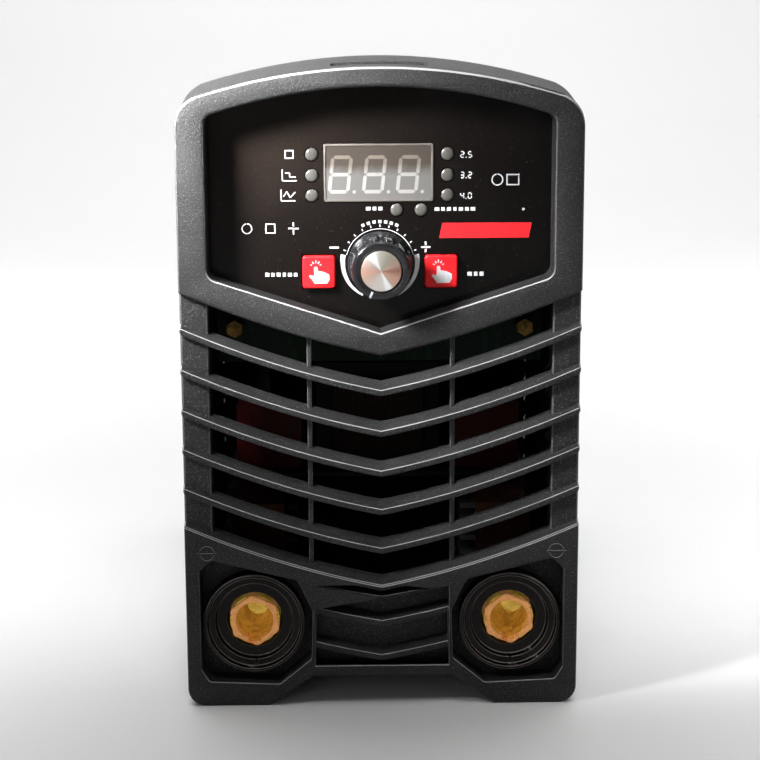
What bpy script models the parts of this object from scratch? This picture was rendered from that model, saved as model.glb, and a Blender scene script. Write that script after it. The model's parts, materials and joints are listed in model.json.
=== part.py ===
"""A stick welding inverter: two plastic end frames, a folded sheet cover and the parts inside.

The design frame is in millimetres: X runs right as seen from the front, Y runs back from the
bezel's front plane, and Z runs up from the soles of the feet. make() turns it into metres and
moves it so that the origin is under the middle of the whole object.
"""

import math

import bmesh
import bpy
from mathutils import Matrix, Vector

MM = 0.001
GAP = 0.3  # clearance between pieces that touch on the real object

# The case as a whole
BODY_DEPTH = 262.0
HALF_WIDTH = 71.0
CROWN = 234.0
REAR_CROWN = 233.0  # the cover and the rear frame sit a little lower
REAR_EDGE_CROWN = 229.4
KNOB_REACH = 12.0  # knob cap in front of the bezel
GLAND_REACH = 21.0  # cable gland behind the rear face
FRONT_Y = -(BODY_DEPTH + GLAND_REACH - KNOB_REACH) / 2
ARCH = 0.0024  # fall of the top arch per square millimetre from the middle
WALL = 3.0
EDGE = 1.2  # rounding of the frames' outer edges
FOOT_INNER = 41.0
FOOT_OUTER_RADIUS = 6.5
BELLY = 11.1  # height of the raised middle of the underside
BELLY_HALF = 25.5

# Front frame
FRONT_DEPTH = 45.0
FRONT_CROWN = 230.0
CROWN_Y = 28.0  # where the sloping top reaches the full height
FACE = 12.7  # depth of the bezel and of the posts
POST_SETBACK = 3.0
OPENING_HALF = 61.0
WINDOW_HALF = 60.8
WINDOW_TOP = 223.4
WINDOW_CORNER = 213.2
WINDOW_BOTTOM_CORNER = 157.5
WINDOW_BOTTOM = 137.8
BEZEL_LOWER = 129.6
LOUVRE_TOPS = (117.1, 102.3, 87.7, 73.5, 59.1, 45.2)
LOUVRE_FRONT = 0.6
LOUVRE_DEPTH = 5.6
LOUVRE_RISE = 2.8
LOUVRE_THICKNESS = 2.5
DIVIDER_X = 25.5
DIVIDER_WIDTH = 1.7
SOCKET_X = 46.6
SOCKET_Z = 30.5
SOCKET_FLOOR = 9.7
STRAP_SLOT_HALF = 17.0
STRAP_SLOT_Y = (8.0, 14.6)

# Cover and base
SHEET = 1.2
REBATE = 1.4
REBATE_FLOOR = 12.6
REBATE_DEPTH = 8.0
REAR_DEPTH = 33.0
COVER_Y = (FRONT_DEPTH - REBATE_DEPTH + GAP, BODY_DEPTH - REAR_DEPTH + REBATE_DEPTH - GAP)
COVER_HALF = HALF_WIDTH - REBATE - GAP
PLATE_Z = REBATE_FLOOR + GAP
FLANGE_TOP = 27.0
SCREW_Z = 20.0
SCREW_YS = (70.0, 200.0)

# Control panel
PANEL_Y = FACE + GAP
PANEL_THICKNESS = 2.0
BOARD_Y = 22.0
BOARD_THICKNESS = 1.6
DISPLAY = (-0.4, 193.2, 38.0, 19.6)  # middle x, middle z, width, height
LED_PLACES = (
    (-24.0, 199.7),
    (-24.0, 192.3),
    (-24.0, 185.2),
    (24.0, 199.7),
    (24.0, 192.3),
    (24.0, 185.2),
    (6.0, 180.0),
    (14.7, 180.0),
)
LED_RADIUS = 2.3
KNOB_Z = 161.1
KNOB_RADIUS = 11.4
BUTTON_X = 21.8
BUTTON_Z = 158.1
BUTTON_SIZE = 11.7
BUTTON_TRAVEL = 0.5
HOLE_CLEARANCE = 0.4

# Rear face
FAN_SIZE = 120.0
FAN_Z = 76.5
FAN_DEPTH = 25.0
FAN_SCREW = 52.5
REAR_FIT_Z = 182.0
SWITCH_X = -32.0
GLAND_X = 32.0
ROCKER_TILT = math.radians(12.0)
ROCKER_PIVOT_Y = BODY_DEPTH - 1.0


def clear_scene():
    for obj in list(bpy.data.objects):
        bpy.data.objects.remove(obj)


def finish_material(name, colour, roughness, metallic=0.0):
    material = bpy.data.materials.new(name)
    material.use_nodes = True
    shader = material.node_tree.nodes["Principled BSDF"]
    shader.inputs["Base Color"].default_value = (*colour, 1.0)
    shader.inputs["Roughness"].default_value = roughness
    shader.inputs["Metallic"].default_value = metallic
    return material


def make_materials():
    return {
        "case_plastic": finish_material("case_plastic", (0.018, 0.018, 0.019), 0.55),
        "panel_gloss": finish_material("panel_gloss", (0.006, 0.005, 0.005), 0.12),
        "display_grey": finish_material("display_grey", (0.30, 0.28, 0.26), 0.25),
        "lens_grey": finish_material("lens_grey", (0.16, 0.15, 0.14), 0.3),
        "button_red": finish_material("button_red", (0.78, 0.02, 0.03), 0.35),
        "knob_black": finish_material("knob_black", (0.012, 0.012, 0.012), 0.3),
        "spun_aluminium": finish_material("spun_aluminium", (0.75, 0.70, 0.70), 0.3, 1.0),
        "socket_black": finish_material("socket_black", (0.01, 0.01, 0.01), 0.18),
        "brass": finish_material("brass", (0.80, 0.48, 0.16), 0.25, 1.0),
        "sheet_black": finish_material("sheet_black", (0.02, 0.02, 0.021), 0.5),
        "zinc_steel": finish_material("zinc_steel", (0.62, 0.62, 0.60), 0.35, 1.0),
        "fan_black": finish_material("fan_black", (0.015, 0.015, 0.015), 0.4),
        "circuit_board": finish_material("circuit_board", (0.02, 0.09, 0.04), 0.4),
        "aluminium": finish_material("aluminium", (0.72, 0.72, 0.73), 0.4, 1.0),
        "ferrite": finish_material("ferrite", (0.05, 0.05, 0.052), 0.6),
        "winding": finish_material("winding", (0.62, 0.27, 0.10), 0.35, 0.8),
        "can_sleeve": finish_material("can_sleeve", (0.02, 0.03, 0.05), 0.3),
        "film_red": finish_material("film_red", (0.45, 0.03, 0.03), 0.35),
        "copper": finish_material("copper", (0.80, 0.42, 0.28), 0.3, 1.0),
    }


def make(name, bm, material=None, origin=(0.0, 0.0, 0.0)):
    """One object from a mesh in design millimetres, with its origin at a point of that frame."""
    bmesh.ops.recalc_face_normals(bm, faces=bm.faces)
    bmesh.ops.translate(bm, verts=bm.verts, vec=-Vector(origin))
    bmesh.ops.scale(bm, verts=bm.verts, vec=(MM, MM, MM))
    mesh = bpy.data.meshes.new(name)
    bm.to_mesh(mesh)
    bm.free()
    obj = bpy.data.objects.new(name, mesh)
    obj.location = (Vector(origin) + Vector((0.0, FRONT_Y, 0.0))) * MM
    bpy.context.scene.collection.objects.link(obj)
    if material:
        mesh.materials.append(material)
        mesh.shade_smooth()
        mesh.set_sharp_from_angle(angle=math.radians(35.0))
    return obj


def combine(target, bm, operation):
    """Cuts a helper mesh out of a node, or joins it on, with a Boolean."""
    helper = make(f"{target.name}_{operation.lower()}_{len(target.modifiers)}", bm)
    helper.hide_render = True
    helper.display_type = "WIRE"
    helper.hide_set(True)
    modifier = target.modifiers.new(helper.name, "BOOLEAN")
    modifier.operation = operation
    modifier.object = helper
    modifier.solver = "EXACT"


def cut(target, bm):
    combine(target, bm, "DIFFERENCE")


def join(target, bm):
    combine(target, bm, "UNION")


def add_loft(bm, rings):
    """Skins closed rings of (x, y, z) points and caps both ends."""
    loops = [[bm.verts.new(point) for point in ring] for ring in rings]
    count = len(loops[0])
    for near, far in zip(loops, loops[1:]):
        for i in range(count):
            j = (i + 1) % count
            bm.faces.new((near[i], near[j], far[j], far[i]))
    bm.faces.new(loops[0])
    bm.faces.new(loops[-1])
    return bm


def add_prism(bm, outline, y_from, y_to):
    """Extrudes an (x, z) outline along Y."""
    rings = [[(x, y, z) for x, z in outline] for y in (y_from, y_to)]
    return add_loft(bm, rings)


def add_prism_x(bm, outline, x_from, x_to):
    """Extrudes a (y, z) outline along X."""
    rings = [[(x, y, z) for y, z in outline] for x in (x_from, x_to)]
    return add_loft(bm, rings)


def add_box(bm, low, high):
    corners = [(low[0], low[2]), (high[0], low[2]), (high[0], high[2]), (low[0], high[2])]
    return add_prism(bm, corners, low[1], high[1])


def add_block(bm, x, z, width, height, y_from, y_to):
    """A box given by its middle and size in the front view."""
    low = (x - width / 2, y_from, z - height / 2)
    high = (x + width / 2, y_to, z + height / 2)
    return add_box(bm, low, high)


AXES = {
    "X": (Vector((1, 0, 0)), Vector((0, 0, 1)), Vector((0, 1, 0))),
    "Y": (Vector((0, 1, 0)), Vector((0, 0, 1)), Vector((1, 0, 0))),
    "Z": (Vector((0, 0, 1)), Vector((1, 0, 0)), Vector((0, 1, 0))),
}


def add_lathe(bm, profile, centre, axis="Y", segments=24):
    """Turns (radius, along) points about an axis; a profile off the axis closes on itself."""
    along, first, second = AXES[axis]
    rings = []
    for radius, distance in profile:
        middle = Vector(centre) + along * distance
        steps = segments if radius > 0 else 1
        angles = [2 * math.pi * i / segments for i in range(steps)]
        rings.append(
            [
                bm.verts.new(middle + (first * math.cos(a) + second * math.sin(a)) * radius)
                for a in angles
            ]
        )
    pairs = list(zip(rings, rings[1:]))
    if profile[0][0] > 0:
        pairs.append((rings[-1], rings[0]))
    for near, far in pairs:
        for i in range(segments):
            j = (i + 1) % segments
            corners = (near[i % len(near)], near[j % len(near)], far[j % len(far)], far[i % len(far)])
            distinct = list(dict.fromkeys(corners))
            if len(distinct) > 2:
                bm.faces.new(distinct)
    return bm


def add_cylinder(bm, radius, centre, start, end, axis="Y", segments=24):
    profile = ((0.0, start), (radius, start), (radius, end), (0.0, end))
    return add_lathe(bm, profile, centre, axis, segments)


def arc_corner(before, corner, after, radius, segments=4):
    """Points of a round corner between two straight sides."""
    corner = Vector(corner)
    to_before = (Vector(before) - corner).normalized()
    to_after = (Vector(after) - corner).normalized()
    half = to_before.angle(to_after) / 2
    reach = radius / math.tan(half)
    centre = corner + (to_before + to_after).normalized() * radius / math.sin(half)
    start = corner + to_before * reach - centre
    end = corner + to_after * reach - centre
    points = []
    for i in range(segments + 1):
        points.append(tuple(centre + start.slerp(end, i / segments) * radius))
    return points


def rounded(points, segments=4):
    """An outline from (x, z, corner radius) points."""
    outline = []
    for i, (x, z, radius) in enumerate(points):
        if radius == 0:
            outline.append((x, z))
            continue
        before = points[i - 1][:2]
        after = points[(i + 1) % len(points)][:2]
        outline.extend(arc_corner(before, (x, z), after, radius, segments))
    return outline


def mirrored(right_half):
    """A whole outline from its right half, which runs up from the middle of the bottom."""
    left_half = [(-x, z) for x, z in reversed(right_half) if x > 0]
    return right_half + left_half


def chevron(x):
    """Rise of the chevron lines away from the middle."""
    return 0.20 * abs(x) + 0.0017 * x * x


def stations(half, count):
    return [half * i / count for i in range(-count, count + 1)]


def top_right(crown, inset):
    """The right side's top corner and the arch, ending at the crown."""
    half = HALF_WIDTH - inset
    top = crown - inset
    side = Vector((half, top - 20.0))
    control = Vector((half - 0.4, top - 12.8))
    arch_end = Vector((half - 7.5, top - ARCH * (half - 7.5) ** 2))
    points = []
    for i in range(5):
        t = i / 5
        points.append(tuple(side * (1 - t) ** 2 + control * 2 * t * (1 - t) + arch_end * t * t))
    for i in range(7):
        x = arch_end.x * (1 - i / 7)
        points.append((x, top - ARCH * x * x))
    points.append((0.0, top))
    return points


def case_outline(crown, inset=0.0):
    """The end frames' outline, with its two feet."""
    radius = FOOT_OUTER_RADIUS - inset
    middle = Vector((HALF_WIDTH - FOOT_OUTER_RADIUS, FOOT_OUTER_RADIUS))
    lean = inset / 3
    right = [(BELLY_HALF + lean, BELLY + inset), (FOOT_INNER + lean, inset)]
    for i in range(5):
        angle = math.radians(-90 + 90 * i / 4)
        right.append((middle.x + radius * math.cos(angle), middle.y + radius * math.sin(angle)))
    return mirrored(right + top_right(crown, inset))


def sleeve_outline(crown, inset, floor):
    """The cover's outline: the case without its feet."""
    return mirrored([(HALF_WIDTH - inset, floor)] + top_right(crown, inset))


def case_loft(bm, levels):
    """A loft of the case outline through (y, crown, inset) levels."""
    rings = []
    for y, crown, inset in levels:
        rings.append([(x, y, z) for x, z in case_outline(crown, inset)])
    return add_loft(bm, rings)


def chevron_band(low, high, half, count=6):
    """An outline between two chevron lines."""
    xs = stations(half, count)
    lower = [(x, low + chevron(x)) for x in xs]
    upper = [(x, high + chevron(x)) for x in reversed(xs)]
    return lower + upper


def window_outline(grow=0.0):
    half = WINDOW_HALF + grow
    arch = (WINDOW_TOP - WINDOW_CORNER) / WINDOW_HALF**2
    points = [
        (0.0, WINDOW_BOTTOM - grow, 0.0),
        (half, WINDOW_BOTTOM_CORNER - grow, 4.0),
        (half, WINDOW_CORNER + grow, 3.0),
    ]
    for i in range(1, 12):
        x = half * (1 - i / 6)
        points.append((x, WINDOW_TOP + grow - arch * x * x, 0.0))
    points.append((-half, WINDOW_CORNER + grow, 3.0))
    points.append((-half, WINDOW_BOTTOM_CORNER - grow, 4.0))
    return rounded(points)


def socket_recess_outline(side):
    points = [
        (61.8, 55.0, 2.0),
        (30.7, 47.3, 2.0),
        (25.2, 35.6, 2.0),
        (25.8, 17.8, 2.0),
        (37.4, 8.3, 2.0),
        (63.0, 9.4, 2.0),
        (65.8, 14.0, 2.0),
        (65.8, 51.0, 2.0),
    ]
    return [(side * x, z) for x, z in rounded(points, 2)]


def louvre_section(x, top):
    """One cross section of a louvre: a flat front edge and a blade that climbs backwards."""
    z = top + chevron(x)
    back = LOUVRE_FRONT + LOUVRE_DEPTH
    return [
        (x, LOUVRE_FRONT, z),
        (x, LOUVRE_FRONT, z - LOUVRE_THICKNESS),
        (x, back, z + LOUVRE_RISE - LOUVRE_THICKNESS),
        (x, back, z + LOUVRE_RISE),
    ]


def rib_section(x, top):
    """A shallow rib of the middle recess."""
    z = top + chevron(x) * 0.9
    return [(x, 1.4, z), (x, 1.4, z - 1.6), (x, 5.0, z - 0.6), (x, 5.0, z + 1.0)]


def strap_slot_cutter(y_from, y_to):
    low = (-STRAP_SLOT_HALF, y_from, 226.0)
    high = (STRAP_SLOT_HALF, y_to, CROWN + 6.0)
    return add_box(bmesh.new(), low, high)


def build_front_frame(material):
    levels = (
        (0.0, FRONT_CROWN, EDGE),
        (EDGE, FRONT_CROWN + EDGE / 8, 0.0),
        (CROWN_Y, CROWN, 0.0),
        (FRONT_DEPTH, CROWN, 0.0),
    )
    frame = make("front_frame", case_loft(bmesh.new(), levels), material)
    slope = (CROWN - FRONT_CROWN) / CROWN_Y
    hollow = (
        (FACE, FRONT_CROWN + slope * FACE, WALL),
        (CROWN_Y, CROWN, WALL),
        (FRONT_DEPTH + 5.0, CROWN, WALL),
    )
    cut(frame, case_loft(bmesh.new(), hollow))
    rebate = sleeve_outline(REAR_CROWN, REBATE, REBATE_FLOOR)
    cut(frame, add_prism(bmesh.new(), rebate, FRONT_DEPTH - REBATE_DEPTH, FRONT_DEPTH + 6.0))
    grille_low = LOUVRE_TOPS[-1] - 0.3
    band = chevron_band(grille_low, BEZEL_LOWER, HALF_WIDTH + 4.0)
    cut(frame, add_prism(bmesh.new(), band, -4.0, POST_SETBACK))
    opening = chevron_band(grille_low + 1.5, BEZEL_LOWER - 1.0, OPENING_HALF)
    cut(frame, add_prism(bmesh.new(), opening, 1.0, FACE + 2.0))
    cut(frame, add_prism(bmesh.new(), window_outline(), -4.0, FACE + 2.0))
    cut(frame, strap_slot_cutter(*STRAP_SLOT_Y))
    cut_socket_recesses(frame)
    cut_middle_recess(frame)
    louvres = bmesh.new()
    for top in LOUVRE_TOPS:
        add_loft(louvres, [louvre_section(x, top) for x in stations(HALF_WIDTH - 0.5, 6)])
    join(frame, louvres)
    dividers = bmesh.new()
    for x in (-DIVIDER_X, DIVIDER_X):
        span = (LOUVRE_TOPS[-1] + 2.0 + chevron(x), BEZEL_LOWER + 4.0 + chevron(x))
        height = span[1] - span[0]
        add_block(dividers, x, sum(span) / 2, DIVIDER_WIDTH, height, 4.2, 11.5)
    join(frame, dividers)
    return frame


def cut_socket_recesses(frame):
    for side in (-1, 1):
        cut(frame, add_prism(bmesh.new(), socket_recess_outline(side), -4.0, SOCKET_FLOOR))
        centre = (side * SOCKET_X, 0.0, SOCKET_Z)
        cut(frame, add_cylinder(bmesh.new(), 14.9, centre, SOCKET_FLOOR - 1.0, FACE + 2.0))


def cut_middle_recess(frame):
    """The shallow recess between the sockets, and the two ribs that cross it."""
    half = 24.2
    xs = stations(half, 2)
    outline = [(-half, 15.1), (half, 15.1)] + [(x, 40.0 + chevron(x) * 0.8) for x in reversed(xs)]
    cut(frame, add_prism(bmesh.new(), outline, -4.0, 4.2))
    ribs = bmesh.new()
    for top in (31.6, 18.6):
        add_loft(ribs, [rib_section(x, top) for x in stations(half + 1.0, 2)])
    join(frame, ribs)


def build_rear_frame(material):
    levels = (
        (BODY_DEPTH - REAR_DEPTH, REAR_CROWN, 0.0),
        (BODY_DEPTH - 20.0, REAR_CROWN, 0.0),
        (BODY_DEPTH - EDGE, REAR_EDGE_CROWN + EDGE / 8, 0.0),
        (BODY_DEPTH, REAR_EDGE_CROWN, EDGE),
    )
    frame = make("rear_frame", case_loft(bmesh.new(), levels), material)
    hollow = (
        (BODY_DEPTH - REAR_DEPTH - 5.0, REAR_CROWN, WALL),
        (BODY_DEPTH - 20.0, REAR_CROWN, WALL),
        (BODY_DEPTH - WALL, REAR_EDGE_CROWN + 0.5, WALL),
    )
    cut(frame, case_loft(bmesh.new(), hollow))
    rebate = sleeve_outline(REAR_CROWN, REBATE, REBATE_FLOOR)
    rebate_end = BODY_DEPTH - REAR_DEPTH + REBATE_DEPTH
    cut(frame, add_prism(bmesh.new(), rebate, rebate_end - REBATE_DEPTH - 6.0, rebate_end))
    cut(frame, strap_slot_cutter(BODY_DEPTH - 12.0, BODY_DEPTH - 5.4))
    inner, outer = BODY_DEPTH - WALL - 2.0, BODY_DEPTH + 4.0
    cut(frame, add_cylinder(bmesh.new(), 57.0, (0.0, 0.0, FAN_Z), inner, outer, segments=36))
    cut(frame, add_block(bmesh.new(), SWITCH_X, REAR_FIT_Z, 22.8, 31.2, inner, outer))
    cut(frame, add_cylinder(bmesh.new(), 10.1, (GLAND_X, 0.0, REAR_FIT_Z), inner, outer))
    cut(frame, fan_screw_holes(inner, outer))
    add_finger_guard(frame)
    return frame


def fan_screw_places():
    return [(x, FAN_Z + z) for z in (-FAN_SCREW, FAN_SCREW) for x in (-FAN_SCREW, FAN_SCREW)]


def fan_screw_holes(y_from, y_to):
    bm = bmesh.new()
    for x, z in fan_screw_places():
        add_cylinder(bm, 2.3, (x, 0.0, z), y_from, y_to, segments=12)
    return bm


def add_finger_guard(frame):
    """Round bars and a cross in front of the fan, moulded with the rear wall."""
    inner, outer = BODY_DEPTH - 2.7, BODY_DEPTH - 0.4
    cross = bmesh.new()
    add_block(cross, 0.0, FAN_Z, 4.0, 118.0, inner, outer)
    join(frame, cross)
    join(frame, add_block(bmesh.new(), 0.0, FAN_Z, 118.0, 4.2, inner, outer))
    rings = bmesh.new()
    for radius in (22.0, 34.0, 46.0):
        section = ((radius - 1.6, inner + 0.2), (radius + 1.6, inner + 0.2))
        section += ((radius + 1.6, outer - 0.2), (radius - 1.6, outer - 0.2))
        add_lathe(rings, section, (0.0, 0.0, FAN_Z), segments=28)
    join(frame, rings)
    hub = add_cylinder(bmesh.new(), 12.0, (0.0, 0.0, FAN_Z), inner - 0.1, outer + 0.2, segments=24)
    join(frame, hub)


def build_cover(material):
    """One folded sheet: both sides and the arched top, with vents low on each side."""
    outer = sleeve_outline(REAR_CROWN, REBATE + GAP, PLATE_Z)
    inner = sleeve_outline(REAR_CROWN, REBATE + GAP + SHEET, PLATE_Z)
    start = outer.index((HALF_WIDTH - REBATE - GAP, PLATE_Z))
    sheet = outer[start:] + list(reversed(inner))
    cover = make("top_cover", add_prism(bmesh.new(), sheet, *COVER_Y), material)
    vents = bmesh.new()
    for column in (60.0, 168.0):
        for row in range(8):
            low = (-80.0, column, 52.0 + 9.0 * row)
            high = (80.0, column + 36.0, 55.0 + 9.0 * row)
            add_box(vents, low, high)
    for y in SCREW_YS:
        add_cylinder(vents, 2.2, (0.0, y, SCREW_Z), -80.0, 80.0, "X", 12)
    cut(cover, vents)
    return cover


def build_base_plate(material):
    half = COVER_HALF - SHEET - GAP
    outline = [(-half, PLATE_Z), (half, PLATE_Z), (half, FLANGE_TOP), (half - SHEET, FLANGE_TOP)]
    outline += [(half - SHEET, PLATE_Z + SHEET), (SHEET - half, PLATE_Z + SHEET)]
    outline += [(SHEET - half, FLANGE_TOP), (-half, FLANGE_TOP)]
    plate = make("base_plate", add_prism(bmesh.new(), outline, *COVER_Y), material)
    holes = bmesh.new()
    for y in SCREW_YS:
        add_cylinder(holes, 2.2, (0.0, y, SCREW_Z), -80.0, 80.0, "X", 12)
    cut(plate, holes)
    return plate


def build_cover_screws(material):
    for side, word in ((-1, "left"), (1, "right")):
        for y, end in zip(SCREW_YS, ("front", "rear")):
            head = COVER_HALF + 0.2
            profile = ((0.0, 62.5), (1.8, 62.5), (1.8, head), (3.6, head), (3.2, head + 1.3))
            profile += ((0.0, head + 1.4),)
            turned = [(radius, side * along) for radius, along in profile]
            bm = add_lathe(bmesh.new(), turned, (0.0, y, SCREW_Z), "X", 16)
            make(f"cover_screw_{word}_{end}", bm, material)


def build_control_panel(material):
    panel = make(
        "control_panel",
        add_prism(bmesh.new(), window_outline(2.5), PANEL_Y, PANEL_Y + PANEL_THICKNESS),
        material,
    )
    front, back = PANEL_Y - 2.0, PANEL_Y + PANEL_THICKNESS + 2.0
    holes = bmesh.new()
    x, z, width, height = DISPLAY
    add_block(holes, x, z, width + 0.8, height + 0.8, front, back)
    for side in (-1, 1):
        size = BUTTON_SIZE + 2 * HOLE_CLEARANCE
        add_block(holes, side * BUTTON_X, BUTTON_Z, size, size, front, back)
    for led_x, led_z in LED_PLACES:
        add_cylinder(holes, LED_RADIUS + GAP, (led_x, 0.0, led_z), front, back, segments=16)
    add_cylinder(holes, 4.1, (0.0, 0.0, KNOB_Z), front, back, segments=20)
    cut(panel, holes)
    return panel


def build_display(material):
    x, z, width, height = DISPLAY
    bm = add_block(bmesh.new(), x, z, width, height, PANEL_Y - 0.2, BOARD_Y - GAP)
    return make("display_module", bm, material)


def build_leds(material):
    for number, (x, z) in enumerate(LED_PLACES, 1):
        r = LED_RADIUS
        profile = ((0.0, PANEL_Y - 0.5), (r * 0.7, PANEL_Y - 0.3), (r, PANEL_Y + 0.3))
        profile += ((r, BOARD_Y - GAP), (0.0, BOARD_Y - GAP))
        make(f"led_{number}", add_lathe(bmesh.new(), profile, (x, 0.0, z), segments=12), material)


def build_control_board(material):
    bm = add_box(bmesh.new(), (-54.0, BOARD_Y, 152.0), (54.0, BOARD_Y + BOARD_THICKNESS, 210.0))
    return make("control_board", bm, material)


def build_encoder(body_material, shaft_material):
    centre = (0.0, 0.0, KNOB_Z)
    front = PANEL_Y + PANEL_THICKNESS + GAP
    body = make(
        "encoder_body",
        add_block(bmesh.new(), 0.0, KNOB_Z, 12.5, 12.5, front, BOARD_Y - GAP),
        body_material,
    )
    join(body, add_cylinder(bmesh.new(), 3.6, centre, 11.0, front + 1.0, segments=20))
    cut(body, add_cylinder(bmesh.new(), 2.95, centre, 8.0, 20.5, segments=20))
    shaft = add_cylinder(bmesh.new(), 2.6, centre, -4.5, 20.0, segments=20)
    make("encoder_shaft", shaft, shaft_material, centre)


def build_knob(body_material, cap_material):
    centre = (0.0, 0.0, KNOB_Z)
    back = PANEL_Y - 0.6
    front = 0.6 - KNOB_REACH
    profile = (
        (0.0, front + 1.4),
        (7.3, front + 1.4),
        (7.3, front),
        (9.6, front),
        (10.1, front + 0.8),
        (10.6, back - 3.2),
        (KNOB_RADIUS - 0.3, back - 2.4),
        (KNOB_RADIUS, back - 1.6),
        (KNOB_RADIUS, back),
        (4.4, back),
        (4.4, back - 2.2),
        (2.95, back - 2.2),
        (2.95, -5.0),
        (0.0, -5.0),
    )
    bm = add_lathe(bmesh.new(), profile, centre, segments=28)
    make("knob_body", bm, body_material, centre)
    cap_back = front + 1.4 - GAP
    cap_profile = (
        (0.0, -KNOB_REACH),
        (6.2, -KNOB_REACH),
        (7.0, -KNOB_REACH + 0.7),
        (7.0, cap_back),
        (0.0, cap_back),
    )
    cap = add_lathe(bmesh.new(), cap_profile, centre, segments=24)
    make("knob_cap", cap, cap_material, centre)


def build_button(name, x, cap_material, switch_material):
    """A square push cap held by a rim behind the panel, over its switch."""
    rim_front = PANEL_Y + PANEL_THICKNESS + 0.4
    rim_back = rim_front + 1.4
    origin = (x, PANEL_Y, BUTTON_Z)
    cap = make(
        f"{name}_button",
        add_block(bmesh.new(), x, BUTTON_Z, BUTTON_SIZE, BUTTON_SIZE, PANEL_Y - 2.4, rim_back),
        cap_material,
        origin,
    )
    bevel = cap.modifiers.new("soft_edges", "BEVEL")
    bevel.width = 0.8 * MM
    bevel.segments = 2
    bevel.limit_method = "ANGLE"
    rim = BUTTON_SIZE + 2.2
    join(cap, add_block(bmesh.new(), x, BUTTON_Z, rim, rim, rim_front, rim_back - 0.1))
    switch_front = rim_back + BUTTON_TRAVEL + GAP
    bm = add_block(bmesh.new(), x, BUTTON_Z, 12.0, 12.0, switch_front, BOARD_Y - GAP)
    make(f"{name}_switch", bm, switch_material)


def build_socket(word, side, cup_material, brass_material, nut_material):
    centre = (side * SOCKET_X, 0.0, SOCKET_Z)
    flange_back = SOCKET_FLOOR - GAP
    cup_profile = (
        (18.5, flange_back),
        (18.5, 2.9),
        (18.0, 2.4),
        (17.2, 2.4),
        (16.8, 2.9),
        (16.8, 4.6),
        (14.4, 5.0),
        (13.8, 7.6),
        (10.3, 7.6),
        (10.3, 13.0),
        (9.5, 13.0),
        (9.5, 26.0),
        (14.5, 26.0),
        (14.5, flange_back),
    )
    cup = add_lathe(bmesh.new(), cup_profile, centre, segments=28)
    make(f"socket_cup_{word}", cup, cup_material)
    hex_front = 6.0
    contact = make(
        f"socket_contact_{word}",
        add_cylinder(bmesh.new(), 9.9, centre, hex_front, 12.7, segments=6),
        brass_material,
    )
    join(contact, add_cylinder(bmesh.new(), 9.1, centre, 11.5, 34.0))
    join(contact, add_cylinder(bmesh.new(), 4.0, centre, 33.0, 46.0, segments=16))
    cut(contact, add_cylinder(bmesh.new(), 6.5, centre, hex_front - 3.0, 30.0))
    x = centre[0]
    cut(contact, add_block(bmesh.new(), x, SOCKET_Z - 4.0, 4.2, 7.8, hex_front - 2.0, 29.0))
    join(contact, add_block(bmesh.new(), x, SOCKET_Z + 6.0, 5.6, 3.2, 10.5, 15.5))
    nut_from, nut_to = FACE + GAP, FACE + GAP + 5.0
    nut = make(
        f"socket_nut_{word}",
        add_cylinder(bmesh.new(), 19.0, centre, nut_from, nut_to, segments=6),
        nut_material,
    )
    cut(nut, add_cylinder(bmesh.new(), 14.9, centre, nut_from - 2.0, nut_to + 2.0))


def build_bus_bar(word, side, material):
    """A copper strip from the socket's stud back under the main board."""
    near, far = SOCKET_X - 10.0, SOCKET_X + 10.0
    profile = ((38.0, 20.0), (41.0, 20.0), (41.0, 63.0), (75.0, 63.0), (75.0, 66.0), (38.0, 66.0))
    bar = make(
        f"bus_bar_{word}",
        add_prism_x(bmesh.new(), profile, side * near, side * far),
        material,
    )
    centre = (side * SOCKET_X, 0.0, SOCKET_Z)
    cut(bar, add_cylinder(bmesh.new(), 4.3, centre, 36.0, 43.0, segments=16))


def build_heatsink(word, side, material):
    """A comb of level fins on an upright back."""
    base, top, tip, root, skin = 15.0, 62.0, 33.0, 57.0, 61.0
    fins = 7
    pitch = (top - base) / fins
    outline = [(skin, base), (skin, top)]
    for i in range(fins):
        z = top - pitch * i
        outline += [(tip, z), (tip, z - 2.0), (root, z - 2.0), (root, z - pitch)]
    outline[-2:] = [(root, top - pitch * (fins - 1) - 2.0), (root, base)]
    bm = add_prism(bmesh.new(), [(side * x, z) for x, z in outline], 78.0, 200.0)
    make(f"heatsink_{word}", bm, material)


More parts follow.
